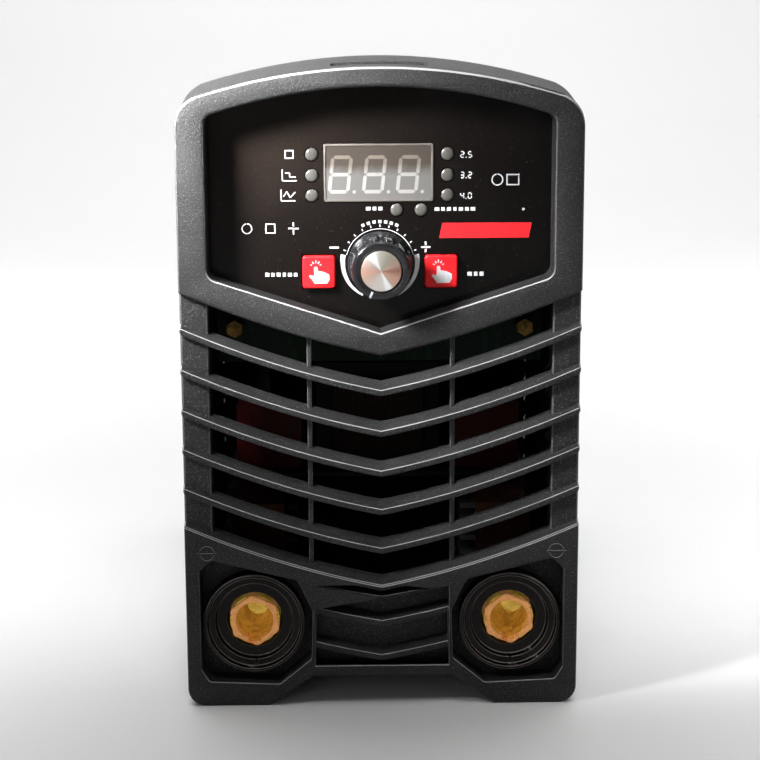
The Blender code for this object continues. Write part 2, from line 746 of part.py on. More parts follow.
def build_main_board(materials):
    top = 68.6
    board = add_box(bmesh.new(), (-60.0, 78.0, 67.0), (60.0, 210.0, top))
    make("main_board", board, materials["circuit_board"])
    seat = top + GAP
    core = make(
        "transformer_core",
        add_box(bmesh.new(), (-25.0, 92.0, seat), (25.0, 122.0, seat + 42.0)),
        materials["ferrite"],
    )
    windows = bmesh.new()
    for x in (-12.5, 12.5):
        add_block(windows, x, seat + 21.0, 11.0, 28.0, 88.0, 126.0)
    cut(core, windows)
    coil = make(
        "transformer_coil",
        add_box(bmesh.new(), (-17.6, 84.0, seat + 7.4), (17.6, 130.0, seat + 34.6)),
        materials["winding"],
    )
    cut(coil, add_box(bmesh.new(), (-7.4, 91.6, seat), (7.4, 122.4, seat + 42.0)))
    for number, x in enumerate((-34.0, 0.0, 34.0), 1):
        can = ((0.0, 0.0), (12.5, 0.0), (12.5, 41.0), (11.5, 42.0), (0.0, 42.0))
        bm = add_lathe(bmesh.new(), can, (x, 150.0, seat), "Z", 16)
        make(f"capacitor_{number}", bm, materials["can_sleeve"])
    ring = [
        (16.0 + 7.0 * math.cos(2 * math.pi * i / 6), 7.0 + 7.0 * math.sin(2 * math.pi * i / 6))
        for i in range(6)
    ]
    choke = add_lathe(bmesh.new(), ring, (0.0, 188.0, seat), "Z", 16)
    make("output_choke", choke, materials["winding"])
    for side, word in ((-1, "left"), (1, "right")):
        bm = add_block(bmesh.new(), side * 44.0, seat + 13.0, 26.0, 26.0, 84.0, 98.0)
        make(f"film_capacitor_{word}", bm, materials["film_red"])


def build_driver_board(materials):
    """A small upright board behind the top of the grille, with two brass terminal posts."""
    board = add_box(bmesh.new(), (-60.0, 34.0, 122.0), (60.0, 35.6, 146.0))
    make("driver_board", board, materials["circuit_board"])
    for side, word in ((-1, "left"), (1, "right")):
        centre = (side * 53.0, 0.0, 136.0)
        post = add_cylinder(bmesh.new(), 3.2, centre, 22.0, 34.0 - GAP, segments=6)
        make(f"terminal_post_{word}", post, materials["brass"])


def build_fan(frame_material, rotor_material, screw_material):
    back = BODY_DEPTH - WALL - GAP
    front = back - FAN_DEPTH
    centre = (0.0, 0.0, FAN_Z)
    half = FAN_SIZE / 2
    corners = [(sx * half, FAN_Z + sz * half, 6.0) for sx, sz in ((-1, -1), (1, -1), (1, 1), (-1, 1))]
    frame = make(
        "fan_frame",
        add_prism(bmesh.new(), rounded(corners, 3), front, back),
        frame_material,
    )
    cut(frame, add_cylinder(bmesh.new(), 57.5, centre, front - 2.0, back + 2.0, segments=36))
    join(frame, add_block(bmesh.new(), 0.0, FAN_Z, 118.0, 4.2, front + 0.2, front + 3.2))
    join(frame, add_block(bmesh.new(), 0.0, FAN_Z, 4.0, 118.0, front + 0.3, front + 3.3))
    join(frame, add_cylinder(bmesh.new(), 19.0, centre, front + 0.1, front + 3.6))
    cut(frame, fan_screw_holes(back - 10.0, back + 2.0))
    origin = (0.0, back, FAN_Z)
    hub = add_cylinder(bmesh.new(), 19.0, centre, front + 4.2, back - 1.2)
    rotor = make("fan_rotor", hub, rotor_material, origin)
    blades = bmesh.new()
    for i in range(7):
        add_fan_blade(blades, centre, front + 5.0, back - 2.2, 2 * math.pi * i / 7)
    join(rotor, blades)
    for number, (x, z) in enumerate(fan_screw_places(), 1):
        face = BODY_DEPTH + 0.2
        profile = ((0.0, back - 8.0), (1.9, back - 8.0), (1.9, face), (3.8, face))
        profile += ((3.4, face + 1.6), (0.0, face + 1.8))
        screw = add_lathe(bmesh.new(), profile, (x, 0.0, z), segments=12)
        make(f"fan_screw_{number}", screw, screw_material)


def add_fan_blade(bm, centre, front, back, angle):
    """A blade whose pitch flattens from root to tip."""
    sections = []
    for radius, sweep, depth in ((17.0, 0.0, 1.0), (36.0, 0.12, 0.85), (55.5, 0.26, 0.7)):
        middle = (front + back) / 2
        reach = (back - front) / 2 * depth
        chord = math.radians(17.0)
        corners = []
        for turn, y, side in ((-1, -1, -1), (-1, -1, 1), (1, 1, 1), (1, 1, -1)):
            a = angle + sweep + turn * chord + side * 0.8 / radius
            x = radius * math.sin(a)
            z = radius * math.cos(a)
            corners.append((x, middle + y * reach, centre[2] + z))
        sections.append(corners)
    add_loft(bm, sections)


def build_power_switch(body_material, rocker_material):
    face = BODY_DEPTH + GAP
    body = make(
        "power_switch_body",
        add_block(bmesh.new(), SWITCH_X, REAR_FIT_Z, 22.0, 30.4, 238.0, face + 1.0),
        body_material,
    )
    join(body, add_block(bmesh.new(), SWITCH_X, REAR_FIT_Z, 26.0, 35.0, face, face + 2.0))
    cavity = ROCKER_PIVOT_Y - 9.5
    cut(body, add_block(bmesh.new(), SWITCH_X, REAR_FIT_Z, 18.8, 28.2, cavity, face + 6.0))
    origin = Vector((SWITCH_X, ROCKER_PIVOT_Y, REAR_FIT_Z))
    profile = (
        (3.6, 0.0),
        (6.0, 12.4),
        (0.0, 12.4),
        (-6.0, 6.0),
        (-6.0, -6.0),
        (0.0, -12.4),
        (6.0, -12.4),
    )
    bm = add_prism_x(bmesh.new(), profile, -9.0, 9.0)
    bmesh.ops.rotate(bm, verts=bm.verts, matrix=Matrix.Rotation(-ROCKER_TILT, 3, "X"))
    bmesh.ops.translate(bm, verts=bm.verts, vec=origin)
    make("power_rocker", bm, rocker_material, origin)


def build_cable_gland(material):
    face = BODY_DEPTH + GAP
    centre = (GLAND_X, 0.0, REAR_FIT_Z)
    body = make(
        "gland_body",
        add_cylinder(bmesh.new(), 13.6, centre, face, face + 5.5, segments=6),
        material,
    )
    join(body, add_cylinder(bmesh.new(), 9.7, centre, 247.0, face + 1.0, segments=20))
    join(body, add_cylinder(bmesh.new(), 9.0, centre, face + 4.5, face + 12.0, segments=20))
    cut(body, add_cylinder(bmesh.new(), 5.2, centre, 240.0, face + 20.0, segments=20))
    cap_from, cap_to = face + 5.5 + GAP, BODY_DEPTH + GLAND_REACH
    cap_profile = (
        (9.4, cap_from),
        (12.6, cap_from),
        (12.6, cap_to - 5.0),
        (11.6, cap_to - 2.0),
        (8.4, cap_to),
        (5.2, cap_to),
        (5.2, face + 12.4),
        (9.4, face + 12.4),
    )
    make("gland_cap", add_lathe(bmesh.new(), cap_profile, centre, segments=20), material)
    nut_to = BODY_DEPTH - WALL - GAP
    nut = make(
        "gland_locknut",
        add_cylinder(bmesh.new(), 13.2, centre, nut_to - 5.0, nut_to, segments=6),
        material,
    )
    cut(nut, add_cylinder(bmesh.new(), 10.1, centre, nut_to - 8.0, nut_to + 2.0, segments=20))


def build():
    clear_scene()
    materials = make_materials()
    build_front_frame(materials["case_plastic"])
    build_rear_frame(materials["case_plastic"])
    build_cover(materials["sheet_black"])
    build_base_plate(materials["zinc_steel"])
    build_cover_screws(materials["zinc_steel"])
    build_control_panel(materials["panel_gloss"])
    build_display(materials["display_grey"])
    build_leds(materials["lens_grey"])
    build_control_board(materials["circuit_board"])
    build_encoder(materials["zinc_steel"], materials["aluminium"])
    build_knob(materials["knob_black"], materials["spun_aluminium"])
    build_button("function", -BUTTON_X, materials["button_red"], materials["knob_black"])
    build_button("rod", BUTTON_X, materials["button_red"], materials["knob_black"])
    for side, word in ((-1, "left"), (1, "right")):
        build_socket(word, side, materials["socket_black"], materials["brass"], materials["zinc_steel"])
        build_bus_bar(word, side, materials["copper"])
        build_heatsink(word, side, materials["aluminium"])
    build_main_board(materials)
    build_driver_board(materials)
    build_fan(materials["fan_black"], materials["fan_black"], materials["zinc_steel"])
    build_power_switch(materials["knob_black"], materials["knob_black"])
    build_cable_gland(materials["fan_black"])


build()
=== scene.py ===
"""The finished look of a stick welding inverter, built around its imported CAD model.

Sizes are in the design frame's millimetres: X runs right as seen from the front, Y runs back
from the bezel's front plane, and Z runs up from the soles of the feet. add_piece() turns them
into metres in the row frame.
"""

import json
import math

import bmesh
import bpy
from mathutils import Matrix, Vector


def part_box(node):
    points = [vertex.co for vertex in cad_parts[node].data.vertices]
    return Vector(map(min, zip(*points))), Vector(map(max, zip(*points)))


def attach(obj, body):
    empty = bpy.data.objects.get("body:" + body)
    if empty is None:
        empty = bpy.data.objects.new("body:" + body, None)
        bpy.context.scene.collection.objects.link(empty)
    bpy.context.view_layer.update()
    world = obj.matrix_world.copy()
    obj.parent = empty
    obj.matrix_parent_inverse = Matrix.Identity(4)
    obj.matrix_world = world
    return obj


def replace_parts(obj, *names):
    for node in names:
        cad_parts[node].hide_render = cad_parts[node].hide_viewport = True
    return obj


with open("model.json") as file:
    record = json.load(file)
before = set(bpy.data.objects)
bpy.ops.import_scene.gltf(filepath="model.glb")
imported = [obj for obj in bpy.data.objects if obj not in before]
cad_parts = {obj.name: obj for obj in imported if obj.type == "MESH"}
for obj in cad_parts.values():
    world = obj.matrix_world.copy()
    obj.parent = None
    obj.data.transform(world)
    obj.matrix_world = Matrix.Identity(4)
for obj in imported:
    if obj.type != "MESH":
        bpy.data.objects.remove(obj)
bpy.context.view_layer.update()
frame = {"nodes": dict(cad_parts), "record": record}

MM = 0.001
FRONT_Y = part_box("front_frame")[0].y
TO_ROW = Matrix.Translation((0.0, FRONT_Y, 0.0)) @ Matrix.Scale(MM, 4)


def design_box(node):
    """A CAD node's lowest and highest corners in the design frame."""
    return [(corner - Vector((0.0, FRONT_Y, 0.0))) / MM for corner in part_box(node)]


def middle(node):
    """The (x, z) of the middle of a CAD node's box, in the design frame."""
    low, high = design_box(node)
    return (low.x + high.x) / 2, (low.z + high.z) / 2


SIDES = ((-1, "left"), (1, "right"))

FRAME_HIGH = design_box("front_frame")[1]
HALF_WIDTH = FRAME_HIGH.x
CROWN = FRAME_HIGH.z
FRONT_DEPTH = FRAME_HIGH.y
PANEL_Y = design_box("control_panel")[0].y
FACE = PANEL_Y - 0.3  # depth of the bezel, posts and apron
SKIN = 0.08  # the sleeve lies this far under the pieces in front of it

# Front frame
FRONT_CROWN = 230.0
CROWN_Y = 28.0
SLOPE = (CROWN - FRONT_CROWN) / CROWN_Y
ARCH = 0.0024
WALL = 3.0
REBATE = 1.4
REBATE_DEPTH = 8.0
FOOT_INNER = 41.0
FOOT_RADIUS = 6.5
BELLY = 11.1
BELLY_HALF = 25.5
SEAM = 5.0  # depth at which the front pieces dip under the sleeve
POST_SETBACK = 3.0
OPENING_HALF = 61.0
WINDOW_HALF = 60.8
WINDOW_TOP = 223.4
WINDOW_CORNER = 213.2
WINDOW_BOTTOM_CORNER = 157.5
WINDOW_BOTTOM = 137.8
BEZEL_LOWER = 129.6
LOUVRE_TOPS = (117.1, 102.3, 87.7, 73.5, 59.1, 45.2)
LOUVRE_FRONT = 0.6
LOUVRE_DEPTH = 5.6
LOUVRE_RISE = 2.8
LOUVRE_THICKNESS = 2.5
APRON_TOP = LOUVRE_TOPS[-1] - 0.3
DIVIDER_X = 25.5
SOCKET_FLOOR = 9.7
MIDDLE_FLOOR = 7.4
MARK_PLACE = (63.0, 57.7)
STRAP_SLOT = (8.0, 14.6)

# Sockets, measured from their axes
SOCKET_PLACES = {word: middle(f"socket_cup_{word}") for _, word in SIDES}
BORE = 6.8
KEYWAY_HALF = 2.1
KEYWAY_REACH = 7.9
CUP_RADIUS = 18.5
HEX_REACH = 9.9  # out to the contact's corners
HEX_TURN = math.radians(-6.0)
LUG_TURN = math.radians(14.0)

# Panel
DISPLAY_LOW, DISPLAY_HIGH = design_box("display_module")
DISPLAY_X, DISPLAY_Z = middle("display_module")
DIGIT_XS = (-13.5, -1.4, 10.6)
DIGIT_SIZE = (7.75, 13.4)
DIGIT_STROKE = 1.25
DIGIT_SLANT = math.tan(math.radians(6.5))
KNOB_LOW, KNOB_HIGH = design_box("knob_body")
KNOB_Z = middle("knob_body")[1]
KNOB_RADIUS = KNOB_HIGH.x
CAP_RADIUS = design_box("knob_cap")[1].x
GRIPS = 12
POINTER_TURN = math.radians(203.0)
FAN_LOW, FAN_HIGH = design_box("fan_frame")
FAN_Z = middle("fan_frame")[1]
FAN_CHORD = math.radians(19.0)
FAN_BLADES = 11
HUB_RADIUS = 19.0
BLADE_ROOT = 17.5
BLADE_LENGTH = 37.7
BLADE_SWEEP = 0.28  # turn of a blade's tip ahead of its root, radians
REAR_FACE = design_box("rear_frame")[1].y
ROCKER_TILT = math.radians(12.0)
ROCKER_SLOPE = math.atan2(2.4, 12.4)  # of each half of its face
SWITCH_Z = middle("power_switch_body")[1]
GLAND_BORE = 5.2
GLAND_HEX = 13.6
VENT_STARTS = (60.0, 168.0)
VENT_LENGTH = 36.0
VENT_PITCH = 9.0
VENT_ROWS = 8
INK = (PANEL_Y - 0.05, PANEL_Y + 0.05)  # printing stands this far out of the panel

# Looks
SMOOTH_TO = 32.0  # faces meet smoothly up to this angle, degrees
BRIGHTNESS = 0.08  # of the even light from all round
LENS = 82.87
CAMERA_PLACE = (-10.56, -608.2, 236.0)
CAMERA_PITCH = 0.1868
CAMERA_YAW = 0.0167
CAMERA_ROLL = -0.0044

# Lights: place, target, size, power, beam in degrees
LIGHTS = {
    "key": ((-0.20, -0.26, 0.33), (-0.07, -0.13, 0.22), (0.08, 0.08), 0.50, 42.0),
    "softbox": ((-0.32, -0.95, 0.35), (0.0, -0.13, 0.14), (0.3, 0.3), 0.25, 180.0),
    "front_strip": ((0.0, -0.42, 1.0), (0.0, -0.05, 0.12), (0.5, 0.10), 0.14, 20.0),
    "overhead": ((0.0, 0.14, 1.2), (0.0, 0.06, 0.0), (1.8, 0.7), 11.0, 180.0),
    "backdrop": ((0.0, 0.9, 1.6), (0.0, 2.0, 0.3), (2.4, 0.8), 24.0, 180.0),
    "floor_left": ((-0.62, 0.1, 0.9), (-0.62, 0.1, 0.0), (0.2, 1.6), 1.6, 60.0),
    "floor_right": ((0.62, 0.1, 0.9), (0.62, 0.1, 0.0), (0.2, 1.6), 1.6, 60.0),
}

# Stage, metres
STAGE_HALF = 3.0
STAGE_FRONT = -4.0
STAGE_BEND = 1.2  # where the floor starts to curve up
STAGE_CURVE = 0.8
STAGE_TOP = 3.0
GRAIN = 0.00045  # size of the moulded grain, metres
# Edge strips get a lighter colour for wear and as a painted highlight, weighted by how far they
# face up
EDGE_STRIP = 0.00033  # area over perimeter, metres, under which a face is an edge's rounding
EDGE_TILTS = (0.3, 0.93)  # how squarely such a strip faces the front or back
EDGE_SIDE = 0.22  # weight of an edge that faces sideways
EDGE_BELOW = {"case_plastic": 0.0, "socket_black": 0.8}


# ---------------------------------------------------------------- mesh helpers


def place_mesh(name, bm):
    """Turns a mesh in design millimetres into an object in the row frame."""
    bmesh.ops.recalc_face_normals(bm, faces=bm.faces)
    bmesh.ops.transform(bm, matrix=TO_ROW, verts=bm.verts)
    mesh = bpy.data.meshes.new(name)
    bm.to_mesh(mesh)
    bm.free()
    obj = bpy.data.objects.new(name, mesh)
    bpy.context.scene.collection.objects.link(obj)
    return obj


def add_piece(name, bm, slot="case_plastic", body="case", sharp=SMOOTH_TO):
    """Makes a piece from a mesh in design millimetres and puts it on its body."""
    obj = place_mesh(name, bm)
    mesh = obj.data
    mesh.materials.append(MATERIALS[slot])
    mesh.shade_smooth()
    mesh.set_sharp_from_angle(angle=math.radians(sharp))
    # narrow edge strips are weighted for wear and a painted highlight
    if slot in EDGE_BELOW:
        weigh_edge_wear_and_highlight(mesh, EDGE_BELOW[slot])
    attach(obj, body)
    return obj


def weigh_edge_wear_and_highlight(mesh, below):
    """Weighs the narrow strips that round a moulding's edges for wear and a painted highlight, most
    where they face up towards the lights.

    below is the weight of a strip that faces down.
    """
    flags = mesh.attributes.new("edge", "FLOAT", "FACE")
    for face, flag in zip(mesh.polygons, flags.data):
        corners = [mesh.vertices[i].co for i in face.vertices]
        perimeter = sum((a - b).length for a, b in zip(corners, corners[1:] + corners[:1]))
        narrow = face.area / perimeter < EDGE_STRIP
        if not narrow or not EDGE_TILTS[0] < abs(face.normal.y) < EDGE_TILTS[1]:
            continue
        lift = face.normal.z / math.sqrt(1.0 - face.normal.y**2)
        furthest = 1.0 if lift > 0.0 else below
        flag.value = EDGE_SIDE + (furthest - EDGE_SIDE) * abs(lift)


def add_loops(bm, rings, closed=False):
    """Skins rings of points; closed joins the last ring to the first, else both ends are capped."""
    loops = [[bm.verts.new(point) for point in ring] for ring in rings]
    count = len(loops[0])
    pairs = list(zip(loops, loops[1:]))
    if closed:
        pairs.append((loops[-1], loops[0]))
    for near, far in pairs:
        for i in range(count):
            j = (i + 1) % count
            bm.faces.new((near[i], near[j], far[j], far[i]))
    if not closed:
        bm.faces.new(loops[0])
        bm.faces.new(loops[-1])
    return bm


def add_prism(bm, outline, y_from, y_to):
    """Extrudes an (x, z) outline along Y."""
    return add_loops(bm, [[(x, y, z) for x, z in outline] for y in (y_from, y_to)])


AXES = {
    "X": (Vector((1, 0, 0)), Vector((0, 0, 1)), Vector((0, 1, 0))),
    "Y": (Vector((0, 1, 0)), Vector((0, 0, 1)), Vector((1, 0, 0))),
    "Z": (Vector((0, 0, 1)), Vector((1, 0, 0)), Vector((0, 1, 0))),
}


def add_lathe(bm, profile, centre, axis="Y", segments=64, shape=None):
    """Turns (radius, along) points about an axis.

    shape(angle, radius, along) may change a radius.
    """
    along, first, second = AXES[axis]
    rings = []
    for radius, distance in profile:
        middle = Vector(centre) + along * distance
        ring = []
        for i in range(segments if radius > 0 else 1):
            angle = 2 * math.pi * i / segments
            reach = shape(angle, radius, distance) if shape else radius
            point = middle + (first * math.cos(angle) + second * math.sin(angle)) * reach
            ring.append(bm.verts.new(point))
        rings.append(ring)
    pairs = list(zip(rings, rings[1:]))
    if profile[0][0] > 0:
        pairs.append((rings[-1], rings[0]))
    for near, far in pairs:
        for i in range(segments):
            j = (i + 1) % segments
            corners = ((near, i), (near, j), (far, j), (far, i))
            distinct = list(dict.fromkeys(ring[k % len(ring)] for ring, k in corners))
            if len(distinct) > 2:
                bm.faces.new(distinct)
    return bm


def arc_corner(before, corner, after, radius, segments):
    """Points of a round corner between two straight sides."""
    corner = Vector(corner)
    to_before = (Vector(before) - corner).normalized()
    to_after = (Vector(after) - corner).normalized()
    half = to_before.angle(to_after) / 2
    reach = radius / math.tan(half)
    centre = corner + (to_before + to_after).normalized() * radius / math.sin(half)
    start = corner + to_before * reach - centre
    end = corner + to_after * reach - centre
    return [tuple(centre + start.slerp(end, i / segments) * radius) for i in range(segments + 1)]


def rounded(points, segments=6):
    """An outline from (u, v, corner radius) points."""
    outline = []
    for i, (u, v, radius) in enumerate(points):
        if radius == 0:
            outline.append((u, v))
            continue
        before = points[i - 1][:2]
        after = points[(i + 1) % len(points)][:2]
        outline.extend(arc_corner(before, (u, v), after, radius, segments))
    return outline


def rounded_box(low, high, radius, segments=4):
    """The outline of a box with four equal corners."""
    corners = ((low[0], low[1]), (high[0], low[1]), (high[0], high[1]), (low[0], high[1]))
    return rounded([(u, v, radius) for u, v in corners], segments)


def rounded_square(x, z, half, radius):
    return rounded_box((x - half, z - half), (x + half, z + half), radius)


def circle(x, z, radius, count=32):
    turns = [2 * math.pi / count * i for i in range(count)]
    return [(x + radius * math.sin(turn), z + radius * math.cos(turn)) for turn in turns]


def mirrored(right_half):
    """A whole outline from its right half, which runs up from the middle of the bottom."""
    return right_half + [(-x, z) for x, z in reversed(right_half) if x > 0]


def plate_mesh(outlines, y_front, y_back, edge, rounding=2):
    """A plate with rounded edges: the first (x, z) outline is its border and the rest are holes."""
    curve = bpy.data.curves.new("outline", "CURVE")
    curve.dimensions = "2D"
    curve.fill_mode = "BOTH"
    curve.extrude = (y_back - y_front) / 2 - edge
    curve.bevel_depth = edge
    curve.bevel_resolution = rounding
    curve.offset = -edge
    for outline in outlines:
        spline = curve.splines.new("POLY")
        spline.points.add(len(outline) - 1)
        for point, (x, z) in zip(spline.points, outline):
            point.co = (x, z, 0.0, 1.0)
        spline.use_cyclic_u = True
    holder = bpy.data.objects.new("outline", curve)
    mesh = bpy.data.meshes.new_from_object(holder)
    bm = bmesh.new()
    bm.from_mesh(mesh)
    bpy.data.objects.remove(holder)
    bpy.data.curves.remove(curve)
    bpy.data.meshes.remove(mesh)
    bmesh.ops.remove_doubles(bm, verts=bm.verts, dist=1e-4)
    turn = Matrix.Rotation(math.radians(90.0), 4, "X")
    middle = Matrix.Translation((0.0, (y_front + y_back) / 2, 0.0))
    bmesh.ops.transform(bm, matrix=middle @ turn, verts=bm.verts)
    return bm


def merge(target, other):
    """Adds one mesh to another."""
    mesh = bpy.data.meshes.new("merged")
    other.to_mesh(mesh)
    other.free()
    target.from_mesh(mesh)
    bpy.data.meshes.remove(mesh)
    return target


# ---------------------------------------------------------------- outlines of the case


def chevron(x):
    """Rise of the chevron lines away from the middle."""
    return 0.20 * abs(x) + 0.0017 * x * x


def stations(half, count):
    return [half * i / count for i in range(-count, count + 1)]


def top_right(crown, inset):
    """The right side's top corner and the arch, ending at the crown."""
    half = HALF_WIDTH - inset
    top = crown - inset
    side = Vector((half, top - 20.0))
    control = Vector((half - 0.4, top - 12.8))
    arch_end = Vector((half - 7.5, top - ARCH * (half - 7.5) ** 2))
    points = []
    for i in range(10):
        t = i / 10
        points.append(tuple(side * (1 - t) ** 2 + control * 2 * t * (1 - t) + arch_end * t * t))
    for i in range(16):
        x = arch_end.x * (1 - i / 16)
        points.append((x, top - ARCH * x * x))
    points.append((0.0, top))
    return points


def foot_right(inset):
    """The right half of the underside, from the belly round the foot to the side."""
    lean = inset / 3
    right = [(BELLY_HALF + lean, BELLY + inset), (FOOT_INNER + lean, inset)]
    for i in range(9):
        angle = math.radians(-90 + 90 * i / 8)
        x = HALF_WIDTH - FOOT_RADIUS + (FOOT_RADIUS - inset) * math.cos(angle)
        right.append((x, FOOT_RADIUS + (FOOT_RADIUS - inset) * math.sin(angle)))
    return right


def case_outline(crown, inset):
    return mirrored(foot_right(inset) + top_right(crown, inset))


def crown_at(y):
    """Height of the sloping top, with its bend softened."""
    reach = 5.0
    if abs(y - CROWN_Y) < reach:
        return CROWN - SLOPE * (CROWN_Y + reach - y) ** 2 / (4 * reach)
    return min(FRONT_CROWN + SLOPE * y, CROWN)


def window_outline(grow=0.0):
    half = WINDOW_HALF + grow
    arch = (WINDOW_TOP - WINDOW_CORNER) / WINDOW_HALF**2
    points = [
        (0.0, WINDOW_BOTTOM - grow, 0.0),
        (half, WINDOW_BOTTOM_CORNER - grow, 4.0),
        (half, WINDOW_CORNER + grow, 3.0),
    ]
    for i in range(1, 24):
        x = half * (1 - i / 12)
        points.append((x, WINDOW_TOP + grow - arch * x * x, 0.0))
    points.append((-half, WINDOW_CORNER + grow, 3.0))
    points.append((-half, WINDOW_BOTTOM_CORNER - grow, 4.0))
    return rounded(points)


def bezel_outline():
    xs = [HALF_WIDTH * i / 12 for i in range(13)]
    lower = [(x, BEZEL_LOWER + chevron(x)) for x in xs]
    return mirrored(lower + top_right(FRONT_CROWN, 0.0))


def apron_outline():
    xs = [HALF_WIDTH * (1 - i / 12) for i in range(13)]
    upper = [(x, APRON_TOP + chevron(x)) for x in xs]
    return mirrored(foot_right(0.0) + upper)


def socket_recess_outline(side, grow=0.0):
    points = [
        (61.8, 55.0 + grow, 2.0),
        (30.7, 47.3 + grow, 2.0),
        (25.2 - grow, 35.6, 2.0),
        (25.8 - grow, 17.8, 2.0),
        (37.4, 8.3 - grow, 2.0),
        (63.0, 9.4 - grow, 2.0),
        (65.8 + grow, 14.0, 2.0),
        (65.8 + grow, 51.0, 2.0),
    ]
    return [(side * x, z) for x, z in rounded(points, 4)]


MIDDLE_HALF = 24.2


def middle_recess_outline():
    xs = [MIDDLE_HALF * (1 - i / 4) for i in range(5)]
    upper = [(x, 40.0 + chevron(x) * 0.8) for x in xs]
    return mirrored([(MIDDLE_HALF, 15.1)] + upper)


# ---------------------------------------------------------------- materials


class Shader:
    """A principled material and short calls for adding nodes to it."""

    def __init__(self, name, colour, roughness, metallic=0.0, **values):
        self.material = bpy.data.materials.new(name)
        self.material.use_nodes = True
        self.tree = self.material.node_tree
        self.surface = self.tree.nodes["Principled BSDF"]
        self.set(self.surface, Base_Color=(*colour, 1.0), Roughness=roughness, Metallic=metallic)
        self.set(self.surface, **values)
        self.coords = self.node("ShaderNodeTexCoord").outputs["Object"]

    def fill(self, sockets, values):
        """Links or sets each socket."""
        for socket, value in zip(sockets, values):
            if isinstance(value, bpy.types.NodeSocket):
                self.tree.links.new(value, socket)
            else:
                socket.default_value = value

    def set(self, node, **values):
        self.fill([node.inputs[key.replace("_", " ")] for key in values], values.values())

    def node(self, kind, settings=(), **values):
        node = self.tree.nodes.new(kind)
        for key, value in settings:
            setattr(node, key, value)
        self.set(node, **values)
        return node

    def noise(self, size, detail=2.0, roughness=0.5, vector=None):
        """Noise with features of about that size, in metres."""
        node = self.node("ShaderNodeTexNoise", Vector=vector or self.coords, Scale=1 / size)
        self.set(node, Detail=detail, Roughness=roughness)
        return node.outputs["Fac"]

    def cells(self, size, vector=None):
        node = self.node("ShaderNodeTexVoronoi", Vector=vector or self.coords, Scale=1 / size)
        return node.outputs["Distance"]

    def stretched(self, scale):
        """Object coordinates scaled by axis, for grain that runs one way."""
        return self.node("ShaderNodeMapping", Vector=self.coords, Scale=scale).outputs["Vector"]

    def math(self, operation, first, second=0.5):
        node = self.node("ShaderNodeMath", [("operation", operation)])
        self.fill(node.inputs[:2], (first, second))
        return node.outputs["Value"]

    def spread(self, value, low, high, start=0.35, end=0.65):
        """Maps a noise value to a range."""
        node = self.node("ShaderNodeMapRange", Value=value)
        self.set(node, From_Min=start, From_Max=end, To_Min=low, To_Max=high)
        return node.outputs["Result"]

    def colours(self, value, *stops):
        """A colour ramp from (position, colour) stops."""
        node = self.node("ShaderNodeValToRGB", Fac=value)
        elements = node.color_ramp.elements
        while len(elements) < len(stops):
            elements.new(0.5)
        for element, (position, colour) in zip(elements, stops):
            element.position = position
            element.color = (*colour, 1.0)
        return node.outputs["Color"]

    def blend(self, factor, first, second):
        """Mixes two colours. The node's colour sockets share their names, so they go by number."""
        node = self.node("ShaderNodeMix", [("data_type", "RGBA")])
        self.fill([node.inputs[i] for i in (0, 6, 7)], (factor, first, second))
        return node.outputs[2]

    def paint(self, value, *stops):
        """Colours the surface by a ramp over a value."""
        self.set(self.surface, Base_Color=self.colours(value, *stops))

    def roughen(self, value, low, high):
        """Spreads the surface's roughness over a noise value."""
        self.set(self.surface, Roughness=self.spread(value, low, high))

    def bump(self, height, depth, strength=1.0):
        """Relief of that depth in metres."""
        node = self.node("ShaderNodeBump", Height=height, Distance=depth, Strength=strength)
        self.set(self.surface, Normal=node.outputs["Normal"])


def grained_plastic_edge_wear_and_highlight():
    """Charcoal plastic with a moulded spark-erosion grain, polished along its edges, which are also
    lightened as a painted highlight, most where they face up.
    """
    shader = Shader("grained_plastic_edge_wear_and_highlight", (0.03, 0.03, 0.031), 0.5, Specular_IOR_Level=0.3)
    edge = shader.node("ShaderNodeAttribute", [("attribute_name", "edge")]).outputs["Fac"]
    grain = shader.noise(GRAIN, 3.0, 0.65)
    pits = shader.cells(GRAIN * 2.2)
    shader.bump(shader.math("ADD", grain, shader.math("MULTIPLY", pits, 0.45)), 0.00022, 1.0)
    cloud = shader.noise(0.02, 3.0)
    base = shader.colours(cloud, (0.35, (0.014, 0.014, 0.0145)), (0.7, (0.021, 0.021, 0.0215)))
    dust = shader.spread(grain, 0.0, 1.0, 0.57, 0.74)
    worn = shader.blend(dust, base, (0.17, 0.17, 0.172, 1.0))
    # the edge strips are lightened for wear and as a painted highlight
    shader.set(shader.surface, Base_Color=shader.blend(edge, worn, (0.34, 0.34, 0.34, 1.0)))
    polish = shader.math("MULTIPLY", edge, 0.20)
    roughness = shader.math("SUBTRACT", shader.spread(grain, 0.44, 0.60), polish)
    shader.set(shader.surface, Roughness=roughness)
    return shader.material


